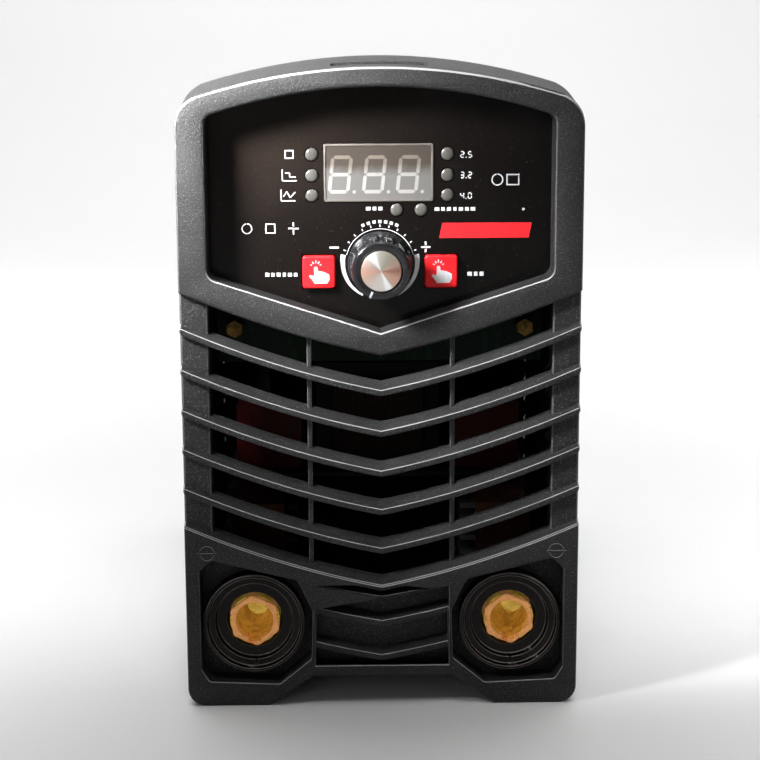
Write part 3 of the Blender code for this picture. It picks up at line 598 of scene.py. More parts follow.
def glossy_panel_painted_reflection():
    """A black glossy overlay with faint dust and smears, its colour browner and lighter towards its
    top left as a painted reflection of the lights there.
    """
    shader = Shader("glossy_panel_painted_reflection", (0.006, 0.005, 0.005), 0.14, Specular_IOR_Level=0.35)
    low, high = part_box("control_panel")
    split = shader.node("ShaderNodeSeparateXYZ", Vector=shader.coords)
    # painted reflection: lighter towards the left and the top
    across = shader.spread(split.outputs["X"], 1.0, 0.0, low.x, high.x)
    rise = shader.spread(split.outputs["Z"], 0.0, 1.0, low.z, high.z)
    smear = shader.noise(0.03, 4.0)
    tone = shader.math("MULTIPLY", shader.math("ADD", across, rise), 0.42)
    tone = shader.math("ADD", tone, shader.math("MULTIPLY", smear, 0.16))
    tint = shader.colours(
        tone,
        (0.25, (0.0015, 0.0012, 0.001)),
        (0.60, (0.006, 0.0045, 0.004)),
        (0.95, (0.022, 0.016, 0.012)),
    )
    dust = shader.spread(shader.noise(0.0006, 1.0), 0.0, 0.35, 0.70, 0.80)
    shader.set(shader.surface, Base_Color=shader.blend(dust, tint, (0.07, 0.065, 0.06, 1.0)))
    shader.roughen(smear, 0.12, 0.22)
    shader.bump(shader.noise(0.0015, 2.0), 0.00001, 0.3)
    return shader.material


def gloss_moulding(name, colour, low=0.14, high=0.26, relief=0.00002, sheen=0.5, rim=None):
    """A polished moulding with slight sink marks; rim is a colour painted on its rounded edges as a
    painted highlight.
    """
    shader = Shader(name, colour, low, Specular_IOR_Level=sheen)
    waves = shader.noise(0.006, 3.0)
    shader.roughen(waves, low, high)
    lighter = tuple(channel * 1.35 + 0.002 for channel in colour)
    tint = shader.colours(waves, (0.3, colour), (0.75, lighter))
    # rim paints a highlight colour on the edge strips
    if rim:
        edge = shader.node("ShaderNodeAttribute", [("attribute_name", "edge")]).outputs["Fac"]
        tint = shader.blend(edge, tint, (*rim, 1.0))
    shader.set(shader.surface, Base_Color=tint)
    shader.bump(shader.noise(0.002, 3.0), relief, 0.5)
    return shader.material


def lit_face(name, dark, light, painted_glow):
    """The display's filter, lighter towards its foot and darker towards its top as painted shading,
    with a faint painted glow.
    """
    shader = Shader(name, light, 0.28)
    low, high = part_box("display_module")
    split = shader.node("ShaderNodeSeparateXYZ", Vector=shader.coords)
    # painted shading: darker towards the top
    rise = shader.spread(split.outputs["Z"], 1.0, 0.0, low.z, high.z)
    mottle = shader.math("MULTIPLY", shader.noise(0.0035, 3.0), 0.2)
    tone = shader.colours(shader.math("ADD", rise, mottle), (0.45, dark), (0.65, light))
    # the emission is a painted glow, the display is not lit
    shader.set(shader.surface, Base_Color=tone, Emission_Color=tone, Emission_Strength=painted_glow)
    shader.bump(shader.noise(0.0008, 2.0), 0.00001, 0.4)
    return shader.material


def printed(name, colour):
    """Screen-printed ink, a little uneven, with a faint painted glow."""
    # the emission is a painted glow
    shader = Shader(name, colour, 0.4, Emission_Color=(*colour, 1.0), Emission_Strength=0.12)
    patch = shader.noise(0.0012, 2.0)
    thin = tuple(channel * 0.86 for channel in colour)
    shader.paint(patch, (0.3, thin), (0.6, colour))
    shader.bump(patch, 0.000008, 0.4)
    return shader.material


def spun_metal_painted_sheen():
    """A turned face: fine rings, and the fan-shaped sheen that they give painted into its colour as
    a painted reflection, with a faint painted glow.
    """
    shader = Shader("spun_metal_painted_sheen", (0.7, 0.65, 0.6), 0.3, 0.75)
    low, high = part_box("knob_cap")
    radial = shader.node("ShaderNodeVectorMath", [("operation", "SUBTRACT")])
    radial.inputs[1].default_value = (low + high) / 2
    shader.tree.links.new(shader.coords, radial.inputs[0])
    split = shader.node("ShaderNodeSeparateXYZ", Vector=radial.outputs[0])
    x, z = split.outputs["X"], split.outputs["Z"]
    squared = shader.math("ADD", shader.math("MULTIPLY", x, x), shader.math("MULTIPLY", z, z))
    rings = shader.math("SINE", shader.math("MULTIPLY", shader.math("SQRT", squared), 22000.0))
    turn = shader.spread(shader.math("ARCTAN2", z, x), 0.0, 1.0, -math.pi, math.pi)
    # painted reflection: light and dark sectors round the cap
    sheen = shader.colours(
        turn,
        (0.00, (0.68, 0.40, 0.31)),
        (0.08, (0.58, 0.42, 0.34)),
        (0.17, (0.62, 0.56, 0.52)),
        (0.27, (0.72, 0.66, 0.62)),
        (0.30, (1.0, 1.0, 1.0)),
        (0.335, (1.0, 1.0, 1.0)),
        (0.355, (0.60, 0.42, 0.34)),
        (0.44, (0.66, 0.38, 0.29)),
        (0.51, (0.40, 0.21, 0.15)),
        (0.56, (0.64, 0.44, 0.35)),
        (0.67, (0.44, 0.42, 0.34)),
        (0.78, (0.56, 0.53, 0.48)),
        (0.81, (0.96, 0.94, 0.94)),
        (0.86, (0.84, 0.80, 0.79)),
        (0.89, (0.50, 0.44, 0.40)),
        (1.00, (0.68, 0.40, 0.31)),
    )
    shader.set(shader.surface, Base_Color=sheen, Emission_Color=sheen, Emission_Strength=0.04)
    shader.set(shader.surface, Roughness=shader.spread(rings, 0.25, 0.35, -1.0, 1.0))
    shader.bump(rings, 0.000006, 0.5)
    return shader.material


def machined_brass(name, dark, light, painted_glow):
    """Turned brass that has picked up a warm cast, lifted by a painted glow."""
    shader = Shader(name, light, 0.24, 0.7)
    patch = shader.noise(0.004, 4.0)
    tint = shader.colours(patch, (0.3, dark), (0.7, light))
    shader.set(shader.surface, Base_Color=tint, Emission_Color=tint, Emission_Strength=painted_glow)
    shader.roughen(patch, 0.20, 0.36)
    cuts = shader.noise(0.0009, 3.0, vector=shader.stretched((1.0, 5.0, 1.0)))
    shader.bump(cuts, 0.00005, 0.5)
    return shader.material


def bare_metal(name, colour, roughness, along=(1.0, 1.0, 1.0), depth=0.00003):
    """Metal with a drawn or plated grain along one axis."""
    shader = Shader(name, colour, roughness, 1.0)
    grain = shader.noise(0.0008, 3.0, vector=shader.stretched(along))
    patch = shader.noise(0.009, 3.0)
    darker = tuple(channel * 0.78 for channel in colour)
    shader.paint(patch, (0.3, darker), (0.65, colour))
    shader.roughen(grain, roughness * 0.8, roughness * 1.3)
    shader.bump(grain, depth, 0.5)
    return shader.material


def powder_coat():
    """Black powder coat with its orange-peel texture."""
    shader = Shader("powder_coat", (0.02, 0.02, 0.021), 0.5, Specular_IOR_Level=0.35)
    peel = shader.noise(0.0011, 2.0)
    shader.roughen(shader.noise(0.012, 3.0), 0.47, 0.53)
    shader.paint(peel, (0.3, (0.016, 0.016, 0.017)), (0.7, (0.03, 0.03, 0.031)))
    shader.bump(peel, 0.00008, 0.8)
    return shader.material


def shaded_solder_mask():
    """A circuit board: green mask over a pattern of tracks, darkened as painted shade."""
    shader = Shader("shaded_solder_mask", (0.02, 0.09, 0.04), 0.35, Specular_IOR_Level=0.1)
    tracks = shader.cells(0.004, shader.stretched((1.0, 1.0, 0.35)))
    edge = shader.spread(tracks, 0.0, 1.0, 0.28, 0.34)
    tint = shader.blend(edge, (0.005, 0.020, 0.010, 1.0), (0.003, 0.010, 0.005, 1.0))
    shader.set(shader.surface, Base_Color=tint)
    shader.roughen(shader.noise(0.003), 0.28, 0.45)
    shader.bump(edge, 0.00004, 0.6)
    return shader.material


def wound(name, colour):
    """Enamelled wire: close turns seen as fine ridges."""
    shader = Shader(name, colour, 0.4, 0.3, Specular_IOR_Level=0.2)
    wave = shader.node("ShaderNodeTexWave", Vector=shader.coords, Scale=260.0, Distortion=0.6)
    turns = wave.outputs["Fac"]
    darker = tuple(channel * 0.35 for channel in colour)
    shader.paint(turns, (0.1, darker), (0.6, colour))
    shader.bump(turns, 0.0003, 0.8)
    return shader.material


def sintered(name, colour):
    """Ground ferrite: grey, dull and finely pitted."""
    shader = Shader(name, colour, 0.6, Specular_IOR_Level=0.1)
    pits = shader.noise(0.0007, 3.0)
    lighter = tuple(channel * 1.5 for channel in colour)
    shader.paint(pits, (0.3, colour), (0.75, lighter))
    shader.bump(pits, 0.00006, 0.7)
    return shader.material


def matte_moulding(name, colour):
    """Glass-filled moulding: dull with a faint fleck."""
    shader = Shader(name, colour, 0.45)
    fleck = shader.noise(0.0009, 2.0)
    lighter = tuple(channel * 1.7 for channel in colour)
    shader.paint(fleck, (0.4, colour), (0.75, lighter))
    shader.roughen(fleck, 0.36, 0.52)
    shader.bump(fleck, 0.00004, 0.6)
    return shader.material


MATERIALS = {
    "case_plastic": grained_plastic_edge_wear_and_highlight(),
    "panel_gloss": glossy_panel_painted_reflection(),
    "display_grey": lit_face("display_filter", (0.045, 0.037, 0.031), (0.105, 0.101, 0.096), 0.04),
    "display_rim": gloss_moulding("display_rim", (0.10, 0.09, 0.08), 0.3, 0.4),
    "segment": lit_face("display_segment", (0.125, 0.108, 0.09), (0.24, 0.234, 0.225), 0.04),
    "lens_grey": gloss_moulding("lamp_lens", (0.06, 0.058, 0.052), 0.16, 0.26),
    "button_red": gloss_moulding("red_cap", (0.56, 0.008, 0.012), 0.34, 0.44, sheen=0.3),
    "knob_black": gloss_moulding("black_gloss", (0.010, 0.010, 0.011), 0.07, 0.16),
    "spun_aluminium": spun_metal_painted_sheen(),
    # the socket cups' rounded edges get a painted highlight colour, also on strips that face down
    "socket_black": gloss_moulding(
        "socket_gloss_painted_rims", (0.0045, 0.0022, 0.0016), 0.06, 0.13, sheen=0.16, rim=(0.16, 0.15, 0.145)
    ),
    "gland_black": matte_moulding("gland_moulding", (0.010, 0.010, 0.011)),
    # the contacts' brass is lifted by a painted glow; the bore's is a lighter copy, a painted
    # highlight inside the dark bore
    "brass": machined_brass("brass_face", (0.66, 0.28, 0.09), (0.86, 0.40, 0.14), 0.16),
    "bore_brass": machined_brass("brass_bore_painted_highlight", (0.55, 0.30, 0.03), (1.0, 0.66, 0.12), 0.10),
    # a darker copy of the brass, painted shade for the terminal posts inside the case
    "shaded_brass": machined_brass("shaded_brass", (0.10, 0.055, 0.012), (0.26, 0.15, 0.03), 0.0),
    "sheet_black": powder_coat(),
    "zinc_steel": bare_metal("zinc_plate", (0.36, 0.36, 0.34), 0.38),
    "fan_black": matte_moulding("fan_moulding", (0.014, 0.014, 0.015)),
    # The board, heatsink, winding, film capacitor and copper strip colours are darkened as painted
    # shade for the dark inside of the case.
    "circuit_board": shaded_solder_mask(),
    "aluminium": bare_metal("shaded_extruded_aluminium", (0.10, 0.10, 0.105), 0.5, (6.0, 0.4, 6.0)),
    "ferrite": sintered("ferrite_core", (0.008, 0.008, 0.009)),
    "winding": wound("shaded_copper_winding", (0.02, 0.008, 0.004)),
    "can_sleeve": gloss_moulding("can_sleeve", (0.005, 0.006, 0.009), 0.3, 0.4, sheen=0.1),
    "film_red": gloss_moulding("shaded_dipped_epoxy", (0.05, 0.003, 0.003), 0.35, 0.45, sheen=0.1),
    "copper": bare_metal("shaded_copper_strip", (0.07, 0.03, 0.018), 0.45, (1.0, 0.3, 1.0)),
    "ink_white": printed("ink_white", (0.44, 0.44, 0.45)),
    "ink_red": printed("ink_red", (0.60, 0.012, 0.018)),
}


def dress_nodes():
    """Gives every CAD node the material of its slot."""
    for entry in frame["record"]["subparts"]:
        mesh = frame["nodes"][entry["node"]].data
        mesh.materials.clear()
        mesh.materials.append(MATERIALS[entry["material_slot"]])
    # the terminal posts, deep in the case, take the darker brass as painted shade
    for word in SOCKET_PLACES:
        frame["nodes"][f"terminal_post_{word}"].data.materials[0] = MATERIALS["shaded_brass"]


# ---------------------------------------------------------------- front frame


def build_sleeve():
    """The front frame's outer skin, open at the back for the cover, with the strap slot."""
    front = POST_SETBACK + 0.4
    outer = [(front, 1.4), (front + 1.2, SKIN)]
    outer += [(CROWN_Y + step, SKIN) for step in (-5.0, -2.5, 0.0, 2.5, 5.0)]
    outer += [(FRONT_DEPTH - 0.5, SKIN), (FRONT_DEPTH, SKIN + 0.5)]
    rebate_end = FRONT_DEPTH - REBATE_DEPTH
    inner = [(FRONT_DEPTH, REBATE), (rebate_end, REBATE)]
    inner += [(y, WALL) for y in (rebate_end, CROWN_Y, front)]
    rings = []
    for y, inset in outer + inner:
        rings.append([(x, y, z) for x, z in case_outline(crown_at(y), inset)])
    sleeve = add_piece("front_sleeve", add_loops(bmesh.new(), rings, closed=True))
    low, high = STRAP_SLOT
    outline = rounded_box((-17.0, low), (17.0, high), 1.2)
    rings = [[(x, y, z) for x, y in outline] for z in (CROWN - 8.0, CROWN + 6.0)]
    carve(sleeve, add_loops(bmesh.new(), rings))
    bevel(sleeve, 0.35)
    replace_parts(sleeve, "front_frame")
    rings = [[(x, y, z) for x, y in outline] for z in (CROWN - 9.5, CROWN - 8.6)]
    add_piece("strap_slot_floor", add_loops(bmesh.new(), rings))


def carve(piece, bm):
    """Cuts a design-frame mesh out of a piece, for good."""
    cutter = place_mesh("cutter", bm)
    modifier = piece.modifiers.new("carve", "BOOLEAN")
    modifier.operation = "DIFFERENCE"
    modifier.solver = "EXACT"
    modifier.object = cutter
    graph = bpy.context.evaluated_depsgraph_get()
    carved = bpy.data.meshes.new_from_object(piece.evaluated_get(graph))
    piece.modifiers.remove(modifier)
    piece.data = carved
    carved.set_sharp_from_angle(angle=math.radians(SMOOTH_TO))
    bpy.data.objects.remove(cutter)


def bevel(piece, width):
    """Rounds a piece's sharper edges."""
    modifier = piece.modifiers.new("soft_edges", "BEVEL")
    modifier.width = width * MM
    modifier.segments = 2
    modifier.limit_method = "ANGLE"
    modifier.angle_limit = math.radians(40.0)
    modifier.harden_normals = False


def lean_top(bm):
    """Makes the bezel's top follow the sloping crown."""
    for vertex in bm.verts:
        point = vertex.co
        outside = abs(point.x) > WINDOW_HALF + WALL and point.z > WINDOW_CORNER
        if outside or point.z > WINDOW_TOP + 1.0:
            point.z += SLOPE * point.y


def build_bezel():
    ring = plate_mesh([bezel_outline(), window_outline()], 0.0, SEAM, 1.1)
    lean_top(ring)
    add_piece("bezel", ring)
    tube = plate_mesh([window_outline(1.8), window_outline(0.02)], 1.2, FACE, 0.3)
    add_piece("window_wall", tube)


def build_posts():
    """The set-back posts on each side of the grille."""
    low = APRON_TOP + 14.0
    high = BEZEL_LOWER + 26.0
    for side, word in SIDES:
        section = rounded(
            [
                (OPENING_HALF, POST_SETBACK, 0.8),
                (HALF_WIDTH, POST_SETBACK, 1.0),
                (HALF_WIDTH, SEAM, 0.0),
                (HALF_WIDTH - 1.0, SEAM + 0.4, 0.0),
                (HALF_WIDTH - 1.0, FACE, 0.0),
                (OPENING_HALF, FACE, 0.6),
            ]
        )
        rings = [[(side * x, y, z) for x, y in section] for z in (low, high)]
        add_piece(f"grille_post_{word}", add_loops(bmesh.new(), rings))


def louvre_section(x, top, shrink):
    """A blade that climbs backwards, with rounded edges; shrink draws it in at its ends."""
    z = top + chevron(x)
    back = LOUVRE_FRONT + LOUVRE_DEPTH
    corners = [
        (LOUVRE_FRONT + shrink, z - shrink, 0.45),
        (LOUVRE_FRONT + shrink, z - LOUVRE_THICKNESS + shrink, 0.45),
        (back, z + LOUVRE_RISE - LOUVRE_THICKNESS + shrink, 0.3),
        (back, z + LOUVRE_RISE - shrink, 0.3),
    ]
    return [(x, y, z) for y, z in rounded(corners, 4)]


def build_louvres():
    for number, top in enumerate(LOUVRE_TOPS, 1):
        sections = [louvre_section(-HALF_WIDTH, top, 0.5)]
        sections += [louvre_section(x, top, 0.0) for x in stations(HALF_WIDTH - 0.5, 20)]
        sections += [louvre_section(HALF_WIDTH, top, 0.5)]
        add_piece(f"louvre_{number}", add_loops(bmesh.new(), sections))


def build_dividers():
    for x, word in ((-DIVIDER_X, "left"), (DIVIDER_X, "right")):
        section = rounded_box((x - 0.85, 4.2), (x + 0.85, 11.5), 0.5)
        low = LOUVRE_TOPS[-1] + 2.0 + chevron(x)
        high = BEZEL_LOWER + 4.0 + chevron(x)
        rings = [[(u, y, z) for u, y in section] for z in (low, high)]
        add_piece(f"grille_divider_{word}", add_loops(bmesh.new(), rings))


def build_apron():
    """The lower front with its two socket recesses and the ribbed recess between them."""
    outlines = [apron_outline(), middle_recess_outline()]
    outlines += [socket_recess_outline(side) for side in (-1, 1)]
    add_piece("apron", plate_mesh(outlines, 0.0, SEAM, 0.7))
    for side, word in SIDES:
        outlines = [socket_recess_outline(side, 1.6), socket_recess_outline(side, 0.02)]
        wall = plate_mesh(outlines, 0.9, SOCKET_FLOOR + 0.5, 0.2)
        add_piece(f"recess_wall_{word}", wall)
        outlines = [socket_recess_outline(side, 1.2), circle(*SOCKET_PLACES[word], 14.9, 48)]
        floor = plate_mesh(outlines, SOCKET_FLOOR, FACE, 0.2)
        add_piece(f"recess_floor_{word}", floor)
    grown = [(x * 1.05, 27.5 + (z - 27.5) * 1.08) for x, z in middle_recess_outline()]
    wall = plate_mesh([grown, middle_recess_outline()], 0.9, MIDDLE_FLOOR + 1.0, 0.2)
    add_piece("middle_recess_wall", wall)
    floor = plate_mesh([grown], MIDDLE_FLOOR, MIDDLE_FLOOR + 2.0, 0.3)
    add_piece("middle_recess_floor", floor)
    for number, top in enumerate((31.6, 18.6), 1):
        sections = [rib_section(x, top) for x in stations(MIDDLE_HALF + 0.8, 6)]
        add_piece(f"middle_rib_{number}", add_loops(bmesh.new(), sections))


def rib_section(x, top):
    z = top + chevron(x) * 0.9
    back = MIDDLE_FLOOR + 0.6
    corners = [(1.4, z, 0.35), (1.4, z - 2.4, 0.35), (back, z - 1.0, 0.0), (back, z + 1.4, 0.0)]
    return [(x, y, z) for y, z in rounded(corners, 4)]


def build_marks():
    """The small ringed bars moulded on each side above the sockets."""
    for side, word in SIDES:
        x, z = side * MARK_PLACE[0], MARK_PLACE[1]
        depths = (-0.18, 0.4, 0.12, 1)
        mark = plate_mesh([circle(x, z, 2.9), circle(x, z, 2.35)], *depths)
        line = rounded_box((x - 3.5, z - 0.3), (x + 3.5, z + 0.3), 0.25)
        add_piece(f"moulded_mark_{word}", merge(mark, plate_mesh([line], *depths)))


# ---------------------------------------------------------------- panel


def flat_mesh(outlines, y_from, y_to):
    """Thin separate shapes, such as printing, from (x, z) outlines."""
    bm = bmesh.new()
    for outline in outlines:
        add_prism(bm, outline, y_from, y_to)
    return bm


def bar(x, z, width, height):
    """The outline of an upright rectangle about its centre."""
    w, h = width / 2, height / 2
    return [(x - w, z - h), (x + w, z - h), (x + w, z + h), (x - w, z + h)]


def stroke(start, end, width):
    """The outline of a straight line of that width."""
    along = (Vector(end) - Vector(start)).normalized() * width / 2
    side = Vector((-along.y, along.x))
    a, b = Vector(start), Vector(end)
    return [tuple(a - side), tuple(b - side), tuple(b + side), tuple(a + side)]


def polyline(points, width):
    return [stroke(start, end, width) for start, end in zip(points, points[1:])]


def around(radius, degrees, x=0.0, z=0.0):
    """A point on a circle, turning clockwise from the top."""
    angle = math.radians(degrees)
    return (x + radius * math.sin(angle), z + radius * math.cos(angle))


def arc_band(inner, outer, start, end, x=0.0, z=0.0, steps=24):
    """Part of a ring; inner and outer are (radius at the start, radius at the end)."""
    near, far = [], []
    for i in range(steps + 1):
        share = i / steps
        degrees = start + (end - start) * share
        near.append(around(inner[0] + (inner[1] - inner[0]) * share, degrees, x, z))
        far.append(around(outer[0] + (outer[1] - outer[0]) * share, degrees, x, z))
    return near + far[::-1]


FIGURES = {
    "0": "abcdef",
    "2": "abged",
    "3": "abgcd",
    "4": "fgbc",
    "5": "afgcd",
    "8": "abcdefg",
}


def figure(text, x, z, width, height, weight, slant=0.0):
    """The strokes of a seven-segment figure as outlines with pointed ends."""
    w, h, gap = (width - weight) / 2, (height - weight) / 2, weight * 0.12
    places = {
        "a": ((-w, h), (w, h)),
        "b": ((w, h), (w, 0)),
        "c": ((w, 0), (w, -h)),
        "d": ((-w, -h), (w, -h)),
        "e": ((-w, 0), (-w, -h)),
        "f": ((-w, h), (-w, 0)),
        "g": ((-w, 0), (w, 0)),
    }
    outlines = []
    for key in FIGURES[text]:
        start, end = (Vector(point) for point in places[key])
        along = (end - start).normalized()
        side = Vector((-along.y, along.x)) * weight / 2
        near, far = start + along * gap, end - along * gap
        inset = along * weight / 2
        points = [near, near + inset - side, far - inset - side]
        points += [far, far - inset + side, near + inset + side]
        outlines.append([(x + p.x + slant * p.y, z + p.y) for p in points])
    return outlines


def build_display():
    """The rim and the unlit segments of a three-figure display."""
    low, high = (DISPLAY_LOW.x, DISPLAY_LOW.z), (DISPLAY_HIGH.x, DISPLAY_HIGH.z)
    face = DISPLAY_LOW.y
    outer = rounded_box((low[0] - 0.35, low[1] - 0.35), (high[0] + 0.35, high[1] + 0.35), 0.7)
    inner = rounded_box((low[0] + 0.35, low[1] + 0.35), (high[0] - 0.35, high[1] - 0.35), 0.5)
    rim = plate_mesh([outer, inner], face - 0.25, face + 0.4, 0.12)
    add_piece("display_rim", rim, "display_rim")
    width, height = DIGIT_SIZE
    z = DISPLAY_Z - 0.64
    for number, offset in enumerate(DIGIT_XS, 1):
        x = DISPLAY_X + offset
        outlines = figure("8", x, z, width, height, DIGIT_STROKE, DIGIT_SLANT)
        outlines.append(circle(x + width / 2 + 1.0, z - height / 2 + 0.55, 0.6, 12))
        shapes = flat_mesh(outlines, face - 0.08, face + 0.1)
        add_piece(f"display_figure_{number}", shapes, "segment")


def build_lamps():
    for number in range(1, 9):
        low, high = design_box(f"led_{number}")
        x, z = middle(f"led_{number}")
        radius = (high.x - low.x) / 2
        profile = [(0.0, low.y)]
        for i in range(1, 7):
            angle = math.radians(90 * i / 6)
            profile.append((radius * math.sin(angle), low.y + 0.9 * (1 - math.cos(angle))))
        profile += [(radius, high.y), (0.0, high.y)]
        lens = add_lathe(bmesh.new(), profile, (x, 0.0, z), segments=32)
        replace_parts(add_piece(f"lamp_{number}", lens, "lens_grey"), f"led_{number}")


def grip(angle, radius, along):
    """Hollows a ring of finger grips into the knob's wall, rounded at both ends."""
    front, back = KNOB_LOW.y + 1.0, KNOB_HIGH.y - 4.0
    if radius < CAP_RADIUS + 1.5 or not front < along < back:
        return radius
    ends = min((along - front) / 2.5, (back - along) / 3.0, 1.0)
    hollow = max(math.cos(angle * GRIPS), 0.0) ** 0.7
    return radius - 0.95 * hollow * math.sqrt(ends)


def build_knob():
    front, back = KNOB_LOW.y, KNOB_HIGH.y
    profile = [(0.0, front + 1.4), (CAP_RADIUS + 0.3, front + 1.4)]
    profile += [(CAP_RADIUS + 0.3, front + 0.3), (CAP_RADIUS + 0.6, front)]
    profile += [(9.3, front), (9.7, front + 0.15), (10.0, front + 0.5), (10.15, front + 1.0)]
    wall_end = back - 3.4
    for i in range(1, 25):
        share = i / 24
        profile.append((10.15 + 0.45 * share, front + 1.0 + (wall_end - front - 1.0) * share))
    skirt = ((10.8, back - 2.9), (KNOB_RADIUS - 0.3, back - 2.5), (KNOB_RADIUS, back - 2.0))
    profile += skirt + ((KNOB_RADIUS, back), (4.4, back), (4.4, back - 2.2), (2.95, back - 2.2))
    profile += [(2.95, -5.0), (0.0, -5.0)]
    centre = (0.0, 0.0, KNOB_Z)
    turned = add_lathe(bmesh.new(), profile, centre, segments=192, shape=grip)
    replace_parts(add_piece("knob_grip", turned, "knob_black", "knob", 50.0), "knob_body")
    cap_front, cap_back = design_box("knob_cap")[0].y, design_box("knob_cap")[1].y
    profile = [(0.0, cap_front), (CAP_RADIUS - 0.55, cap_front)]
    profile += [(CAP_RADIUS - 0.15, cap_front + 0.2), (CAP_RADIUS, cap_front + 0.6)]
    profile += [(CAP_RADIUS, cap_back), (0.0, cap_back)]
    turned = add_lathe(bmesh.new(), profile, centre, segments=96)
    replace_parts(add_piece("knob_disc", turned, "spun_aluminium", "knob"), "knob_cap")
    along = Vector((math.sin(POINTER_TURN), math.cos(POINTER_TURN)))
    side = Vector((along.y, -along.x)) * 0.42
    rings = []
    for radius, y in ((7.7, front), (9.3, front), (9.75, front + 0.2), (10.15, front + 0.7)):
        middle = Vector((0.0, KNOB_Z)) + along * radius
        left, right = middle - side, middle + side
        corners = ((left, y - 0.06), (right, y - 0.06), (right, y + 0.3), (left, y + 0.3))
        rings.append([(p.x, depth, p.y) for p, depth in corners])
    add_piece("knob_pointer", add_loops(bmesh.new(), rings), "ink_white", "knob")


def hand_outline(x, z):
    """A plain hand with one finger raised, for a press-here sign."""
    points = [
        (-3.5, -0.7, 0.4),
        (-3.4, -1.5, 0.2),
        (-2.0, -3.2, 0.6),
        (-1.6, -4.0, 0.3),
        (3.0, -4.0, 0.5),
        (3.7, -2.6, 0.9),
        (3.7, -0.7, 0.6),
        (2.0, 0.1, 0.4),
        (-0.3, 0.6, 0.2),
        (-0.4, 2.1, 0.5),
        (-1.7, 2.1, 0.5),
        (-1.7, -1.3, 0.3),
    ]
    return [(x + u, z + v) for u, v in rounded(points, 3)]


def build_buttons():
    for name, body in (("function", "function_cap"), ("rod", "rod_cap")):
        low, high = design_box(f"{name}_button")
        x, z = middle(f"{name}_button")
        rim = (high.x - low.x) / 2
        half = rim - 1.1
        cap = plate_mesh([rounded_square(x, z, half, 1.1)], low.y, high.y, 0.75, 4)
        flange = plate_mesh([rounded_square(x, z, rim, 0.5)], high.y - 1.4, high.y, 0.1)
        piece = add_piece(f"{name}_key", merge(cap, flange), "button_red", body)
        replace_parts(piece, f"{name}_button")
        shapes = [hand_outline(x, z)]
        for degrees, length in ((-62.0, 0.7), (-30.0, 0.9), (0.0, 1.0), (30.0, 0.9), (62.0, 0.7)):
            near = around(1.5, degrees, x - 1.05, z + 1.8)
            far = around(1.5 + length, degrees, x - 1.05, z + 1.8)
            shapes.append(stroke(near, far, 0.38))
        add_piece(f"{name}_sign", flat_mesh(shapes, low.y - 0.05, low.y + 0.1), "ink_white", body)


def dashes(x, z, width, height, count):
    """A row of small blocks in the place of a word."""
    pitch = width / count
    shares = (0.78, 0.62, 0.7, 0.55, 0.74, 0.66)
    blocks = []
    for i in range(count):
        block_x = x - width / 2 + pitch * (i + 0.5)
        blocks.append(bar(block_x, z, pitch * shares[i % len(shares)], height))
    return blocks


def chart(x, z, points):
    """A small pair of axes with a line drawn over them."""
    axes = polyline([(x - 2.4, z + 2.1), (x - 2.4, z - 1.9), (x + 2.6, z - 1.9)], 0.42)
    return axes + polyline([(x + u, z + v) for u, v in points], 0.42)


def box_outline(x, z, width, height, weight):
    """Four strokes round a rectangle."""
    w, h = (width - weight) / 2, (height - weight) / 2
    level = [bar(x, z + v, width, weight) for v in (-h, h)]
    upright = [bar(x + u, z, weight, height - 2 * weight - 0.02) for u in (-w, w)]
    return level + upright


def knob_scale():
    """Ticks, a hairline and two crescents round the knob."""
    centre = (0.0, KNOB_Z)
    shapes = [arc_band((12.1, 12.1), (12.35, 12.35), -76.0, 76.0, *centre, 48)]
    for i in range(11):
        degrees = -70.0 + 14.0 * i
        tick = around(12.9, degrees, *centre), around(13.75, degrees, *centre)
        shapes.append(stroke(*tick, 0.42))
    for side, _ in SIDES:
        shapes.append(arc_band((12.5, 12.7), (14.3, 13.4), side * 77.0, side * 152.0, *centre, 36))
    for i in range(7):
        degrees = -24.0 + 8.0 * i
        ends = degrees - 2.3, degrees + 2.3
        shapes.append(arc_band((14.2, 14.2), (15.3, 15.3), *ends, *centre, 4))
    return shapes


def numbers(text, x, z):
    """A size such as 2.5, in small figures."""
    whole, part = text.split(".")
    shapes = figure(whole, x - 1.35, z, 1.55, 2.4, 0.42)
    shapes.append(bar(x, z - 1.0, 0.42, 0.42))
    return shapes + figure(part, x + 1.35, z, 1.55, 2.4, 0.42)


